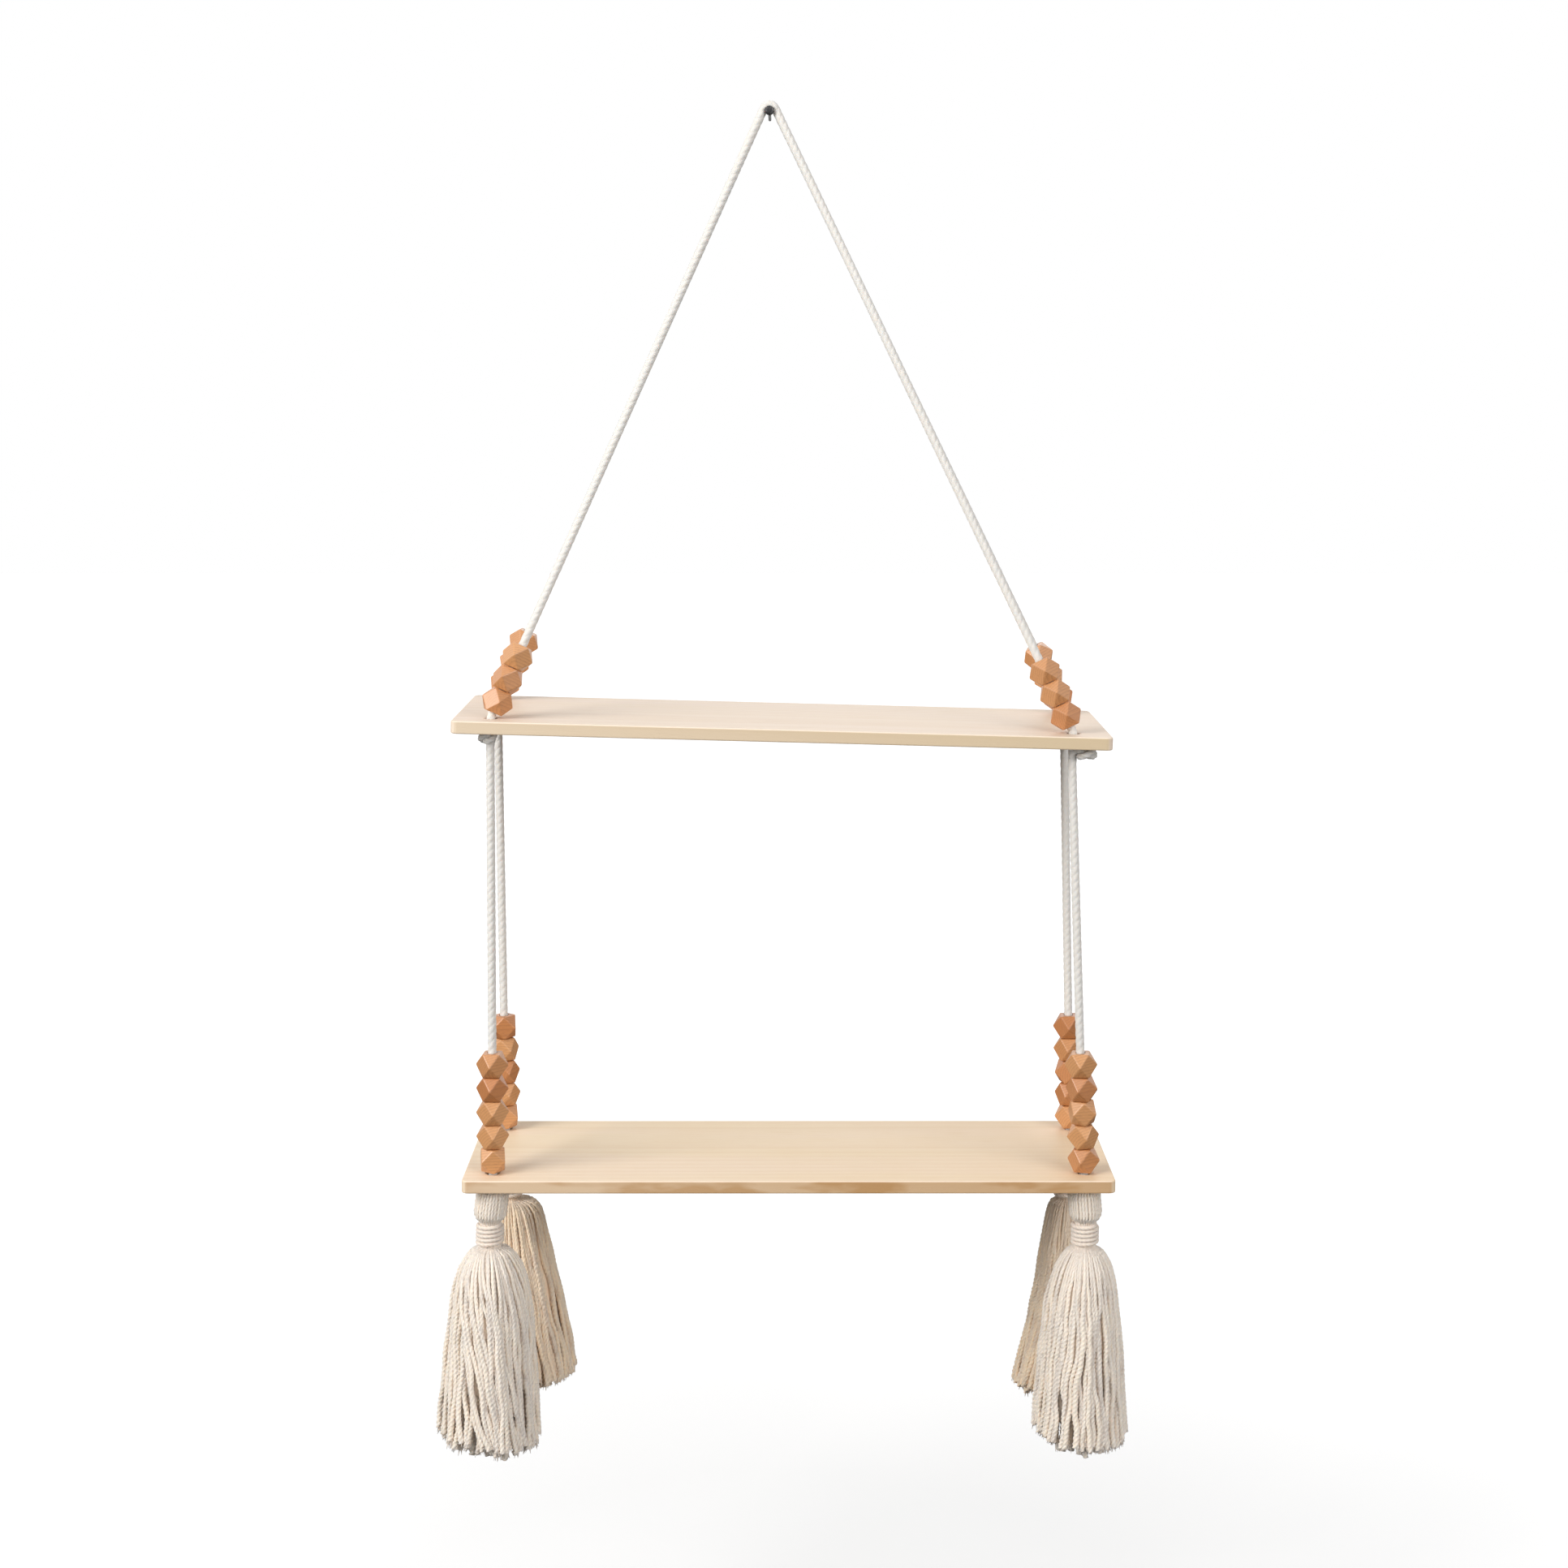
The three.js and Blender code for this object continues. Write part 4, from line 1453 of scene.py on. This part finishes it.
# Skirt outlines from the neck to the hem: a share of the way down, and of the skirt's radius
FRONT_FLARE = ((0.02, 0.42), (0.06, 0.53), (0.105, 0.625), (0.19, 0.72), (0.28, 0.775), (0.4, 0.825),
               (0.53, 0.87), (0.7, 0.92), (0.86, 0.965), (1, 1))
REAR_LEFT_FLARE = ((0.015, 0.5), (0.05, 0.6), (0.105, 0.64), (0.19, 0.67), (0.28, 0.71), (0.4, 0.77),
                   (0.53, 0.835), (0.7, 0.905), (0.86, 0.96), (1, 1))
REAR_RIGHT_FLARE = ((0.015, 0.4), (0.05, 0.46), (0.105, 0.5), (0.19, 0.54), (0.28, 0.57), (0.4, 0.61),
                    (0.53, 0.67), (0.7, 0.76), (0.86, 0.88), (1, 1.01))


@dataclass
class Tassel:
    """A bundle of yarns folded over the rope's end, bound at the neck and loose below it."""

    corner: Corner
    length: float = 173 * MM
    dome_radius: float = 12 * MM
    dome_shares: tuple[float, ...] = (0.12, 0.3, 0.5, 0.7, 0.86, 1)
    head_radius: float = 10.2 * MM
    head_length: float = 21 * MM
    head_turn: Profile = ((-2.4, 1), (-1.2, 0.97), (-0.4, 0.9))
    shoulder: float = 2.2 * MM
    neck_radius: float = 6.7 * MM
    neck_length: float = 18.5 * MM
    edge_rise: float = 14 * MM
    ragged: float = 2.8 * MM
    ragged_longest: float = 0.45
    yarn_radius: float = 1.9 * MM
    yarn_lay: float = 9 * MM
    yarn_step: float = 2.1 * MM
    yarn_crease: float = 0.3
    bulk_spread: tuple[float, float] = (0.86, 1.14)
    head_start: float = 0.2 * MM
    tuck: float = 3 * MM
    tight_inset: float = 0.5
    loose_inset: float = 0.8
    least_reach: float = 0.3 * MM
    gather_counts: tuple[tuple[int, float], ...] = ((7, 0.5), (12, 0.32))
    gather_gain: float = 2.2
    ridge_swell: float = 0.045
    ridge_gain: float = 3
    wave_sizes: tuple[tuple[float, float], ...] = ((1.9, 105), (0.9, 46), (0.45, 21))
    wave_size_spread: tuple[float, float] = (0.4, 1)
    wave_length_spread: tuple[float, float] = (0.7, 1.3)
    wave_gain: float = 4
    wave_outward: float = 0.45
    wave_calm: float = 3 * MM
    fold_depth: float = 3 * MM
    fold_pace: float = 0.35 * MM
    neck_depth: float = 52 * MM
    neck_pace: float = 1 * MM
    loose_pace: float = 2.4 * MM
    head_girths: tuple[float, float] = (0.3, 0.68)
    head_girth_run: float = 9 * MM
    neck_girth: float = 0.5
    skirt_girth: float = 0.55
    skirt_girth_run: float = 45 * MM
    end_flare: float = 0.14
    end_flare_run: float = 8 * MM
    wall_clearance: float = 1 * MM
    core_share: float = 0.9
    core_inset: float = 0.4 * MM
    core_drop: float = 0.8 * MM
    core_length: float = 0.82
    core_sides: int = 36
    frays_per_yarn: int = 4
    fray_spread: tuple[float, float] = (0.2, 0.75)
    fray_length: tuple[float, float] = (2.5, 5)
    fray_root: float = 2 * MM
    fray_shares: tuple[float, ...] = (0, 0.35, 0.7, 1)
    fray_bend: float = 0.35
    fray_girths: tuple[float, ...] = (0.3, 0.26, 0.18, 0.08)
    fray_tone: float = 0.1
    head_ring_turn: float = 0.1
    ring_jitter: float = 0.32
    head_ring_jitter: float = 0.4
    ring_reach: tuple[float, float] = (0.975, 1.015)
    frayed_reach: float = 0.8
    lock_spacing: float = 0.12
    lock_jitter: float = 0.03
    lock_reach: tuple[float, float] = (1.0, 1.05)
    binding_radius: float = 1.04 * MM
    binding_bulk: float = 1.4
    binding_sink: float = 0.5 * MM
    binding_pitch: float = 2.6 * MM
    binding_turns: int = 5
    binding_turn_steps: int = 40
    binding_tuck_steps: int = 6
    binding_tuck: float = 1.6 * MM
    binding_lay: float = 7 * MM
    binding_step: float = 0.8 * MM
    binding_tone: float = 0.2
    first_seed: int = 100
    rings: tuple[YarnRing, ...] = (
        YarnRing(30, 1.0, True), YarnRing(31, 0.96), YarnRing(28, 0.84), YarnRing(18, 0.6), YarnRing(8, 0.3))
    locks: dict[Corner, tuple[LooseLock, ...]] = field(default_factory=lambda: by_corner(
        (LooseLock(8, -2.15, -1.2), LooseLock(5, -1.2, -1.0), LooseLock(4, 0.6, 1.0)),
        (LooseLock(5, -1.0, -0.8), LooseLock(5, -0.3, -0.05), LooseLock(4, 2.6, 2.9)),
        (LooseLock(6, -1.9, -2.1), LooseLock(6, -1.2, -1.05), LooseLock(4, 0.4, 0.1)),
        (LooseLock(5, -2.4, -2.6), LooseLock(5, -1.7, -2.0), LooseLock(4, 0.9, 0.5))))
    sweeps: dict[Corner, float] = field(default_factory=lambda: by_corner(0.2, 0.12, -0.04, -0.14))
    skirt_radii: dict[Corner, float] = field(default_factory=lambda: by_corner(
        33 * MM, 34 * MM, 29.5 * MM, 29 * MM))
    leans: dict[Corner, float] = field(default_factory=lambda: by_corner(-0.025, 0.072, -0.012, -0.048))
    hems: dict[Corner, tuple[float, float]] = field(default_factory=lambda: by_corner(
        (0.3 * MM, 3.8 * MM), (-4.5 * MM, 1 * MM), (-0.8 * MM, 2.6 * MM), (1.5 * MM, -3 * MM)))
    head_shifts: dict[Corner, float] = field(default_factory=lambda: by_corner(-1.4 * MM, 0.0, 1.2 * MM, 0.0))
    shift_start: float = 4 * MM
    shift_rise: float = 12 * MM
    shift_fall: float = 34 * MM
    flares: dict[Corner, Profile] = field(default_factory=lambda: by_corner(
        FRONT_FLARE, REAR_LEFT_FLARE, FRONT_FLARE, REAR_RIGHT_FLARE))

    def __post_init__(self) -> None:
        """Work out what several methods use."""
        self.pivot = LAYOUT.lower_hole(self.corner, -LAYOUT.board_thickness)
        self.skirt_top = self.head_length + self.neck_length
        self.top_depth = LAYOUT.seat_gap - self.dome_radius + math.sqrt(
            self.dome_radius ** 2 - LAYOUT.hole_radius ** 2)
        self.chance = random.Random(self.first_seed + list(Corner).index(self.corner))
        self.gathers = [(count, self.chance.uniform(0, math.tau), share)
                        for count, share in self.gather_counts]
        self.profile = self.outline()

    def outline(self) -> list[tuple[float, float]]:
        """Find the tassel's envelope, from the head's top to the skirt's edge.

        Returns:
            Depths below the board, each with the envelope's radius there.
        """
        profile = []
        for share in self.dome_shares:
            radius = share * self.head_radius
            fall = self.dome_radius - math.sqrt(self.dome_radius ** 2 - radius ** 2)
            profile.append((self.top_depth + fall, radius))
        profile += [(self.head_length + rise * self.shoulder, self.head_radius * reach)
                    for rise, reach in self.head_turn]
        profile += [(self.head_length + self.shoulder / 2, self.neck_radius),
                    (self.skirt_top, self.neck_radius)]
        drop = self.length - self.edge_rise - self.skirt_top
        radius = self.skirt_radii[self.corner]
        profile += [(self.skirt_top + share * drop, reach * radius)
                    for share, reach in self.flares[self.corner]]
        return profile

    def radius_at(self, depth: float) -> float:
        """Find the envelope's radius.

        Args:
            depth: The depth below the board.

        Returns:
            The radius there.
        """
        if depth <= self.profile[0][0]:
            return self.profile[0][1]
        for (d0, r0), (d1, r1) in zip(self.profile, self.profile[1:]):
            if depth <= d1:
                t = (depth - d0) / (d1 - d0) if d1 > d0 else 1
                return r0 + (r1 - r0) * t
        return self.profile[-1][1]

    def middle(self, depth: float) -> float:
        """Find the tassel's middle, which leans, and whose head may sit aside.

        Args:
            depth: The depth below the board.

        Returns:
            The middle's place along the boards.
        """
        below = max(0.0, depth - self.skirt_top) / self.shift_fall
        share = min(1.0, max(0.0, depth - self.shift_start) / self.shift_rise) * max(0.0, 1 - below)
        return self.pivot.x + self.leans[self.corner] * depth + self.head_shifts[self.corner] * share

    def placed(self, depth: float, radius: float, angle: float) -> Point:
        """Turn a place on the tassel into a point of the scene, drawn in where it would meet the wall.

        Args:
            depth: The depth below the board.
            radius: The distance from the tassel's middle.
            angle: The angle round it, in radians from the right.

        Returns:
            The point.
        """
        room = -self.pivot.y - self.wall_clearance - self.yarn_radius
        back = radius * math.sin(angle)
        return Vector((
            self.middle(depth) + radius * math.cos(angle),
            self.pivot.y + (room * math.tanh(back / room) if back > 0 else back),
            self.pivot.z - depth))

    def yarn(self, angle: float, reach: float, from_head: bool,
             cross: float = 0.0) -> tuple[Polyline, list[float]]:
        """Lead one yarn from the head or the binding to the hem.

        Args:
            angle: Where it stands round the tassel.
            reach: Its distance from the tassel's axis as a share of the envelope's radius.
            from_head: True for a yarn that comes over the head, false for one that starts under the binding.
            cross: How far it moves round on its way down, in radians.

        Returns:
            The line and a share of the yarn's radius for each point.
        """
        depth = self.top_depth + self.head_start if from_head else self.skirt_top - self.tuck
        rise = self.edge_rise * min(1.0, reach) ** 2
        longer, tilt = self.hems[self.corner]
        edge = (self.length - rise + longer + tilt * reach * math.cos(angle)
                + self.chance.uniform(-self.ragged, self.ragged_longest * self.ragged))
        waves = [(self.chance.uniform(*self.wave_size_spread) * size * MM,
                  self.chance.uniform(*self.wave_length_spread) * length * MM,
                  self.chance.uniform(0, math.tau)) for size, length in self.wave_sizes]
        bulk = self.chance.uniform(*self.bulk_spread)
        pull = sum(share / count * math.sin(count * angle + phase) for count, phase, share in self.gathers)
        ridge = -sum(share * math.cos(count * angle + phase) for count, phase, share in self.gathers)
        line, girths = [], []
        while depth < edge:
            loose = max(0.0, (depth - self.skirt_top) / (self.length - self.skirt_top))
            inset = self.yarn_radius * (self.tight_inset if depth < self.skirt_top else self.loose_inset)
            swing = (self.sweeps[self.corner] + cross) * loose + pull * min(1.0, self.gather_gain * loose)
            swell = 1 + self.ridge_swell * ridge * min(1.0, self.ridge_gain * loose)
            radius = max(self.least_reach, (self.radius_at(depth) - inset) * reach * swell)
            ease = min(1.0, self.wave_gain * loose)
            aside = sum(size * math.sin(math.tau * depth / length + phase) for size, length, phase in waves)
            outward = self.wave_outward * waves[1][0] * math.sin(math.tau * depth / waves[1][1] + waves[2][2])
            line.append(self.placed(depth, radius + ease * outward,
                                    angle + swing + ease * aside / (radius + self.wave_calm)))
            girths.append(bulk * self._girth(depth, edge))
            depth += self._pace(depth)
        return line, girths

    def _pace(self, depth: float) -> float:
        """Shorter steps where the yarn bends over the head and under the binding."""
        return self.fold_pace if depth < self.fold_depth else (
            self.neck_pace if depth < self.neck_depth else self.loose_pace)

    def _girth(self, depth: float, edge: float) -> float:
        """Thin a yarn where it gathers at the head's top and under the binding, and open its end.

        Args:
            depth: The depth below the board.
            edge: The depth at which the yarn ends.

        Returns:
            The share of the yarn's radius there.
        """
        if depth < self.head_length:
            thin, full = self.head_girths
            return min(full, thin + max(0.0, depth - self.top_depth) / self.head_girth_run)
        if depth <= self.skirt_top:
            return self.neck_girth
        share = (depth - self.skirt_top) / self.skirt_girth_run
        opening = min(1.0, self.skirt_girth + (1 - self.skirt_girth) * share)
        return opening * (1 + self.end_flare * max(0.0, 1 - (edge - depth) / self.end_flare_run))

    def core(self, material: bpy.types.Material) -> bpy.types.Object:
        """Make the closed middle of the bundle, which shows only between yarns.

        Args:
            material: The yarn's material.

        Returns:
            The core.
        """
        work = bmesh.new()
        rings = []
        for depth, radius in self.profile:
            if depth < self.length * self.core_length:
                inner = max(self.core_inset, radius * self.core_share - self.core_inset)
                rings.append([work.verts.new(self.placed(depth + self.core_drop, inner,
                                                         math.tau * i / self.core_sides))
                              for i in range(self.core_sides)])
        for upper, lower in zip(rings, rings[1:]):
            for i in range(self.core_sides):
                j = (i + 1) % self.core_sides
                work.faces.new((upper[i], lower[i], lower[j], upper[j]))
        work.faces.new(rings[0])
        work.faces.new(list(reversed(rings[-1])))
        bmesh.ops.recalc_face_normals(work, faces=work.faces)
        core = linked(f"tassel_core_{self.corner.value}", work)
        places = core.data.attributes.new("cord_place", "FLOAT_VECTOR", "POINT")
        places.data.foreach_set(
            "vector", [c for vertex in core.data.vertices for c in vertex.co - self.pivot])
        core.data.materials.append(material)
        core.data.shade_smooth()
        return core

    def frays(self, lines: Sequence[Polyline]) -> tuple[list[Polyline], list[list[float]]]:
        """Lead loose fibres out of the yarns' ends.

        Args:
            lines: The yarns' lines.

        Returns:
            The fibres' lines and their girths.
        """
        made, girths = [], []
        for line in lines:
            end, before = line[-1], line[-3]
            way = (end - before).normalized()
            for _ in range(self.frays_per_yarn):
                turn, spread = self.chance.uniform(0, math.tau), self.chance.uniform(*self.fray_spread)
                side = Vector((math.cos(turn), math.sin(turn), 0)) * spread
                length = self.chance.uniform(*self.fray_length) * MM
                start = end - way * self.fray_root + side * self.yarn_radius
                fibre = [start + (way + side * self.fray_bend * t) * length * t for t in self.fray_shares]
                for point in fibre:
                    point.y = min(point.y, -self.wall_clearance / 2)
                made.append(fibre)
                girths.append(list(self.fray_girths))
        return made, girths

    def skirt(self, cords: CordBuilder, material: bpy.types.Material) -> bpy.types.Object:
        """Make all yarns of the tassel as one mesh.

        Args:
            cords: The cord builder.
            material: The yarn's material.

        Returns:
            The yarns.
        """
        lines, girths = [], []
        outer = 0
        for ring in self.rings:
            offset = self.head_ring_turn if ring.from_head else self.chance.uniform(0, math.tau)
            for i in range(ring.count):
                jitter = self.chance.uniform(-self.ring_jitter, self.ring_jitter)
                jitter *= self.head_ring_jitter if ring.from_head else 1
                reach = ring.reach * self.chance.uniform(*self.ring_reach)
                line, girth = self.yarn(math.tau * (i + jitter) / ring.count + offset, reach, ring.from_head)
                lines.append(line)
                girths.append(girth)
            if ring.reach > self.frayed_reach:
                outer = len(lines)
        frays, thin = self.frays(lines[:outer])
        for lock in self.locks[self.corner]:
            for i in range(lock.count):
                start = (lock.start + self.lock_spacing * (i - lock.count / 2)
                         + self.chance.uniform(-self.lock_jitter, self.lock_jitter))
                line, girth = self.yarn(start, self.chance.uniform(*self.lock_reach), False,
                                        lock.end - lock.start)
                lines.append(line)
                girths.append(girth)
        tones = [self.chance.random() for _ in lines] + [self.fray_tone] * len(frays)
        return cords.lay(f"tassel_yarns_{self.corner.value}", lines + frays, self.yarn_radius, material,
                         lay=self.yarn_lay, step=self.yarn_step, points=3, crease=self.yarn_crease,
                         girths=girths + thin, tones=tones)

    def binding(self, cords: CordBuilder, material: bpy.types.Material) -> bpy.types.Object:
        """Wind the cord round the neck, with both ends tucked in.

        Args:
            cords: The cord builder.
            material: The cord's material.

        Returns:
            The binding.
        """
        radius = self.neck_radius + LAYOUT.seat_gap + self.binding_radius - self.binding_sink
        middle = self.head_length + self.shoulder / 2 + (self.neck_length - self.shoulder / 2) / 2
        line: Polyline = []
        total = self.binding_turns * self.binding_turn_steps
        for step in range(total + 1):
            turn = step / self.binding_turn_steps
            tuck = max(0.0, 1 - min(step, total - step) / self.binding_tuck_steps)
            angle = -turn * math.tau
            reach = radius - tuck * self.binding_tuck
            depth = middle + (turn - self.binding_turns / 2) * self.binding_pitch
            line.append(Vector((
                self.middle(depth) + reach * math.cos(angle),
                self.pivot.y + reach * math.sin(angle),
                self.pivot.z - depth)))
        return cords.lay(f"tassel_binding_{self.corner.value}", [line],
                         self.binding_radius * self.binding_bulk, material, lay=self.binding_lay,
                         step=self.binding_step, points=6, tones=[self.binding_tone])

    def build(self, cords: CordBuilder, materials: Materials) -> None:
        """Make the tassel and let it ride on its own body.

        Args:
            cords: The cord builder.
            materials: The built materials.
        """
        body = f"tassel_bundle_{self.corner.value}"
        # The rear tassels take the browner copy of the yarn, which is painted shade.
        yarn = materials.yarn if self.corner.front else materials.rear_yarn_painted_shade
        skirt = self.skirt(cords, yarn)
        core = self.core(yarn)
        enlist(skirt, [f"tassel_{self.corner.value}"], body)
        enlist(core, body=body)
        binding = self.binding(cords, materials.binding)
        enlist(binding, [f"binding_{self.corner.value}"], body)


@dataclass
class WallNail:
    """A round-headed nail: the shank in the wall and the domed head in front of the ropes."""

    head_radius: float = 3 * MM
    head_thickness: float = 1.3 * MM
    crown: float = 0.5 * MM
    crown_share: float = 0.92
    crown_rings: int = 6
    rim: float = 0.25 * MM
    back_rim: float = 0.15 * MM
    back_share: float = 0.96
    fillet: float = 0.3 * MM
    embedded: float = 24 * MM
    point_length: float = 5 * MM
    point_waist: tuple[float, float] = (0.5, 0.45)
    sides: int = 48

    def outline(self) -> list[tuple[float, float]]:
        """Find the turned outline, from the head's face to the point.

        Returns:
            Radii, each with its place along the nail.
        """
        face = -(LAYOUT.front_standoff + LAYOUT.rope_radius + LAYOUT.seat_gap)
        front = face - self.head_thickness
        profile = []
        for i in range(self.crown_rings + 1):
            share = i / self.crown_rings
            profile.append((self.head_radius * self.crown_share * share,
                            front - self.crown * (1 - share ** 2)))
        shank, (waist, waist_share) = LAYOUT.nail_radius, self.point_waist
        return profile + [
            (self.head_radius, front + self.rim), (self.head_radius, face - self.back_rim),
            (self.head_radius * self.back_share, face), (shank + self.fillet, face), (shank, face + self.rim),
            (shank, self.embedded - self.point_length),
            (shank * waist, self.embedded - self.point_length * waist_share), (0, self.embedded)]

    def build(self, material: bpy.types.Material) -> bpy.types.Object:
        """Turn the nail and let it ride on the fixed body.

        Args:
            material: The nail's material.

        Returns:
            The nail.
        """
        work = bmesh.new()
        rings = []
        for radius, y in self.outline():
            count = self.sides if radius else 1
            angles = [math.tau * i / self.sides for i in range(count)]
            rings.append([work.verts.new((radius * math.cos(a), y, radius * math.sin(a))) for a in angles])
        for first, second in zip(rings, rings[1:]):
            for i in range(self.sides):
                j = (i + 1) % self.sides
                loop = [first[i % len(first)], second[i % len(second)], second[j % len(second)],
                        first[j % len(first)]]
                work.faces.new(list(dict.fromkeys(loop)))
        bmesh.ops.recalc_face_normals(work, faces=work.faces)
        nail = linked("nail_turned", work)
        nail.data.materials.append(material)
        nail.data.shade_smooth()
        enlist(nail, ["wall_nail"], "nail")
        return nail


@dataclass
class Boards:
    """The two drilled boards, which keep their solids and take a wood finish."""

    upper: str = "upper_board"
    lower: str = "lower_board"

    def dress(self, materials: Materials) -> None:
        """Give each board its own cut of pine.

        Args:
            materials: The built materials.
        """
        for name, material in ((self.upper, materials.upper_pine), (self.lower, materials.lower_pine)):
            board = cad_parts[name]
            board.data.materials.clear()
            board.data.materials.append(material)
            LOG.info("%s: dressed", name)


@dataclass(frozen=True)
class Lamp:
    """One soft square lamp: its place, the point it faces, its side, its watts and its linear colour."""

    name: str
    place: Triple
    target: Triple
    size: float
    power: float
    colour: Triple = (1.0, 1.0, 1.0)

    def build(self) -> None:
        """Put the lamp into the scene."""
        data = bpy.data.lights.new(self.name, "AREA")
        data.size = self.size
        data.energy = self.power
        data.color = self.colour
        lamp = bpy.data.objects.new(self.name, data)
        lamp.location = self.place
        lamp.rotation_mode = "QUATERNION"
        lamp.rotation_quaternion = (Vector(self.target) - Vector(self.place)).to_track_quat("-Z", "Y")
        bpy.context.scene.collection.objects.link(lamp)


@dataclass
class Studio:
    """Camera, soft lamps, white surroundings and the pale floor."""

    camera_place: Triple = (7.92 * MM, -1.5553, -0.1689)
    pitch: float = math.radians(3.95)
    yaw: float = math.radians(0.05)
    sensor_width: float = 36.0
    focal_pixels: float = 2916.9
    image_pixels: float = 1932.0
    principal_row: float = 665.6
    clip: tuple[float, float] = (0.05, 30.0)
    floor_drop: float = 1.05
    floor_half: float = 9.0
    floor_roughness: float = 0.9
    ambient: float = 0.29
    floor_tone: float = 0.45
    floor_bounce: float = 0.1
    shadow_reach: tuple[float, float] = (0.3, 1.6)
    shadow_white: tuple[float, float] = (0.55, 0.96)
    lamps: tuple[Lamp, ...] = (
        Lamp("key", (-1.71, -1.24, 0.47), (0.0, -0.05, -0.5), 1.3, 48.0, (1.0, 0.99, 0.97)),
        Lamp("fill", (1.57, -1.92, 0.3), (0.0, -0.05, -0.5), 1.6, 32.0, (1.0, 0.99, 0.98)),
        Lamp("top", (0.0, -0.3, 1.5), (0.0, -0.1, -0.5), 1.4, 5.0),
        Lamp("rear", (0.5, 1.6, 0.8), (0.0, -0.05, -0.45), 1.4, 6.0))

    def camera(self) -> None:
        """Place the camera at the photograph's viewing angle."""
        data = bpy.data.cameras.new("view")
        data.sensor_width = self.sensor_width
        data.lens = data.sensor_width * self.focal_pixels / self.image_pixels
        data.shift_y = -(self.image_pixels / 2 - self.principal_row) / self.image_pixels
        data.clip_start, data.clip_end = self.clip
        camera = bpy.data.objects.new("view", data)
        camera.location = self.camera_place
        camera.rotation_euler = (math.pi / 2 - self.pitch, 0, -self.yaw)
        bpy.context.scene.collection.objects.link(camera)
        bpy.context.scene.camera = camera

    def world(self) -> None:
        """White where the camera or a gloss sees it, and a plain soft level as light."""
        world = bpy.data.worlds.new("surroundings")
        world.use_nodes = True
        bpy.context.scene.world = world
        graph = Graph(world.node_tree)
        background = world.node_tree.nodes["Background"]
        rays = graph.add("ShaderNodeLightPath").outputs
        seen = graph.math("MAXIMUM", rays["Is Camera Ray"],
                          graph.math("MAXIMUM", rays["Is Glossy Ray"], rays["Is Transmission Ray"]))
        background.inputs["Color"].default_value = (1.0, 1.0, 1.0, 1.0)
        graph.feed(background.inputs["Strength"], graph.spread(seen, 0.0, 1.0, self.ambient, 1.0))

    def floor(self) -> None:
        """A wide pale floor that shows the object's shadow and is white elsewhere."""
        mesh = bpy.data.meshes.new("floor")
        half = self.floor_half
        mesh.from_pydata([(x, y, -self.floor_drop) for x, y in (
            (-half, -half), (half, -half), (half, half), (-half, half))], [], [(0, 1, 2, 3)])
        material, graph, shader = start_material("pale_floor")
        rays = graph.add("ShaderNodeLightPath").outputs
        graph.feed(shader.inputs["Base Color"], graph.blend_colours(
            rays["Is Camera Ray"], (self.floor_bounce,) * 3 + (1.0,), (self.floor_tone,) * 3 + (1.0,)))
        set_plain(shader, {"Roughness": self.floor_roughness, "Emission Color": (1.0, 1.0, 1.0, 1.0)})
        place = graph.add("ShaderNodeTexCoord").outputs["Object"]
        away = graph.add("ShaderNodeVectorMath", {0: place, 1: (0.0, 0.0, -self.floor_drop)},
                         operation="DISTANCE")
        white = graph.spread(away.outputs["Value"], *self.shadow_reach, *self.shadow_white)
        graph.feed(shader.inputs["Emission Strength"], graph.times(rays["Is Camera Ray"], white))
        mesh.materials.append(material)
        link_mesh("floor", mesh)

    def build(self) -> None:
        """Set up everything but the camera."""
        for lamp in self.lamps:
            lamp.build()
        self.world()
        self.floor()
        bpy.context.scene.view_settings.view_transform = "Standard"


def main() -> None:
    """Build the scene piece by piece."""
    logging.basicConfig(level=logging.INFO, format="%(name)s %(message)s")
    studio = Studio()
    studio.camera()
    materials = Materials()
    cords = CordBuilder()
    for row in Row:
        UpperRope(row).build(cords, materials.rope)
    for corner in Corner:
        MiddleRope(corner).build(cords, materials.rope)
        StopperKnot(corner).build(cords, materials.rope)
        Tassel(corner).build(cords, materials)
    BeadColumns().build(materials.bead)
    WallNail().build(materials.nail)
    Boards().dress(materials)
    studio.build()


if __name__ == "__main__":
    main()
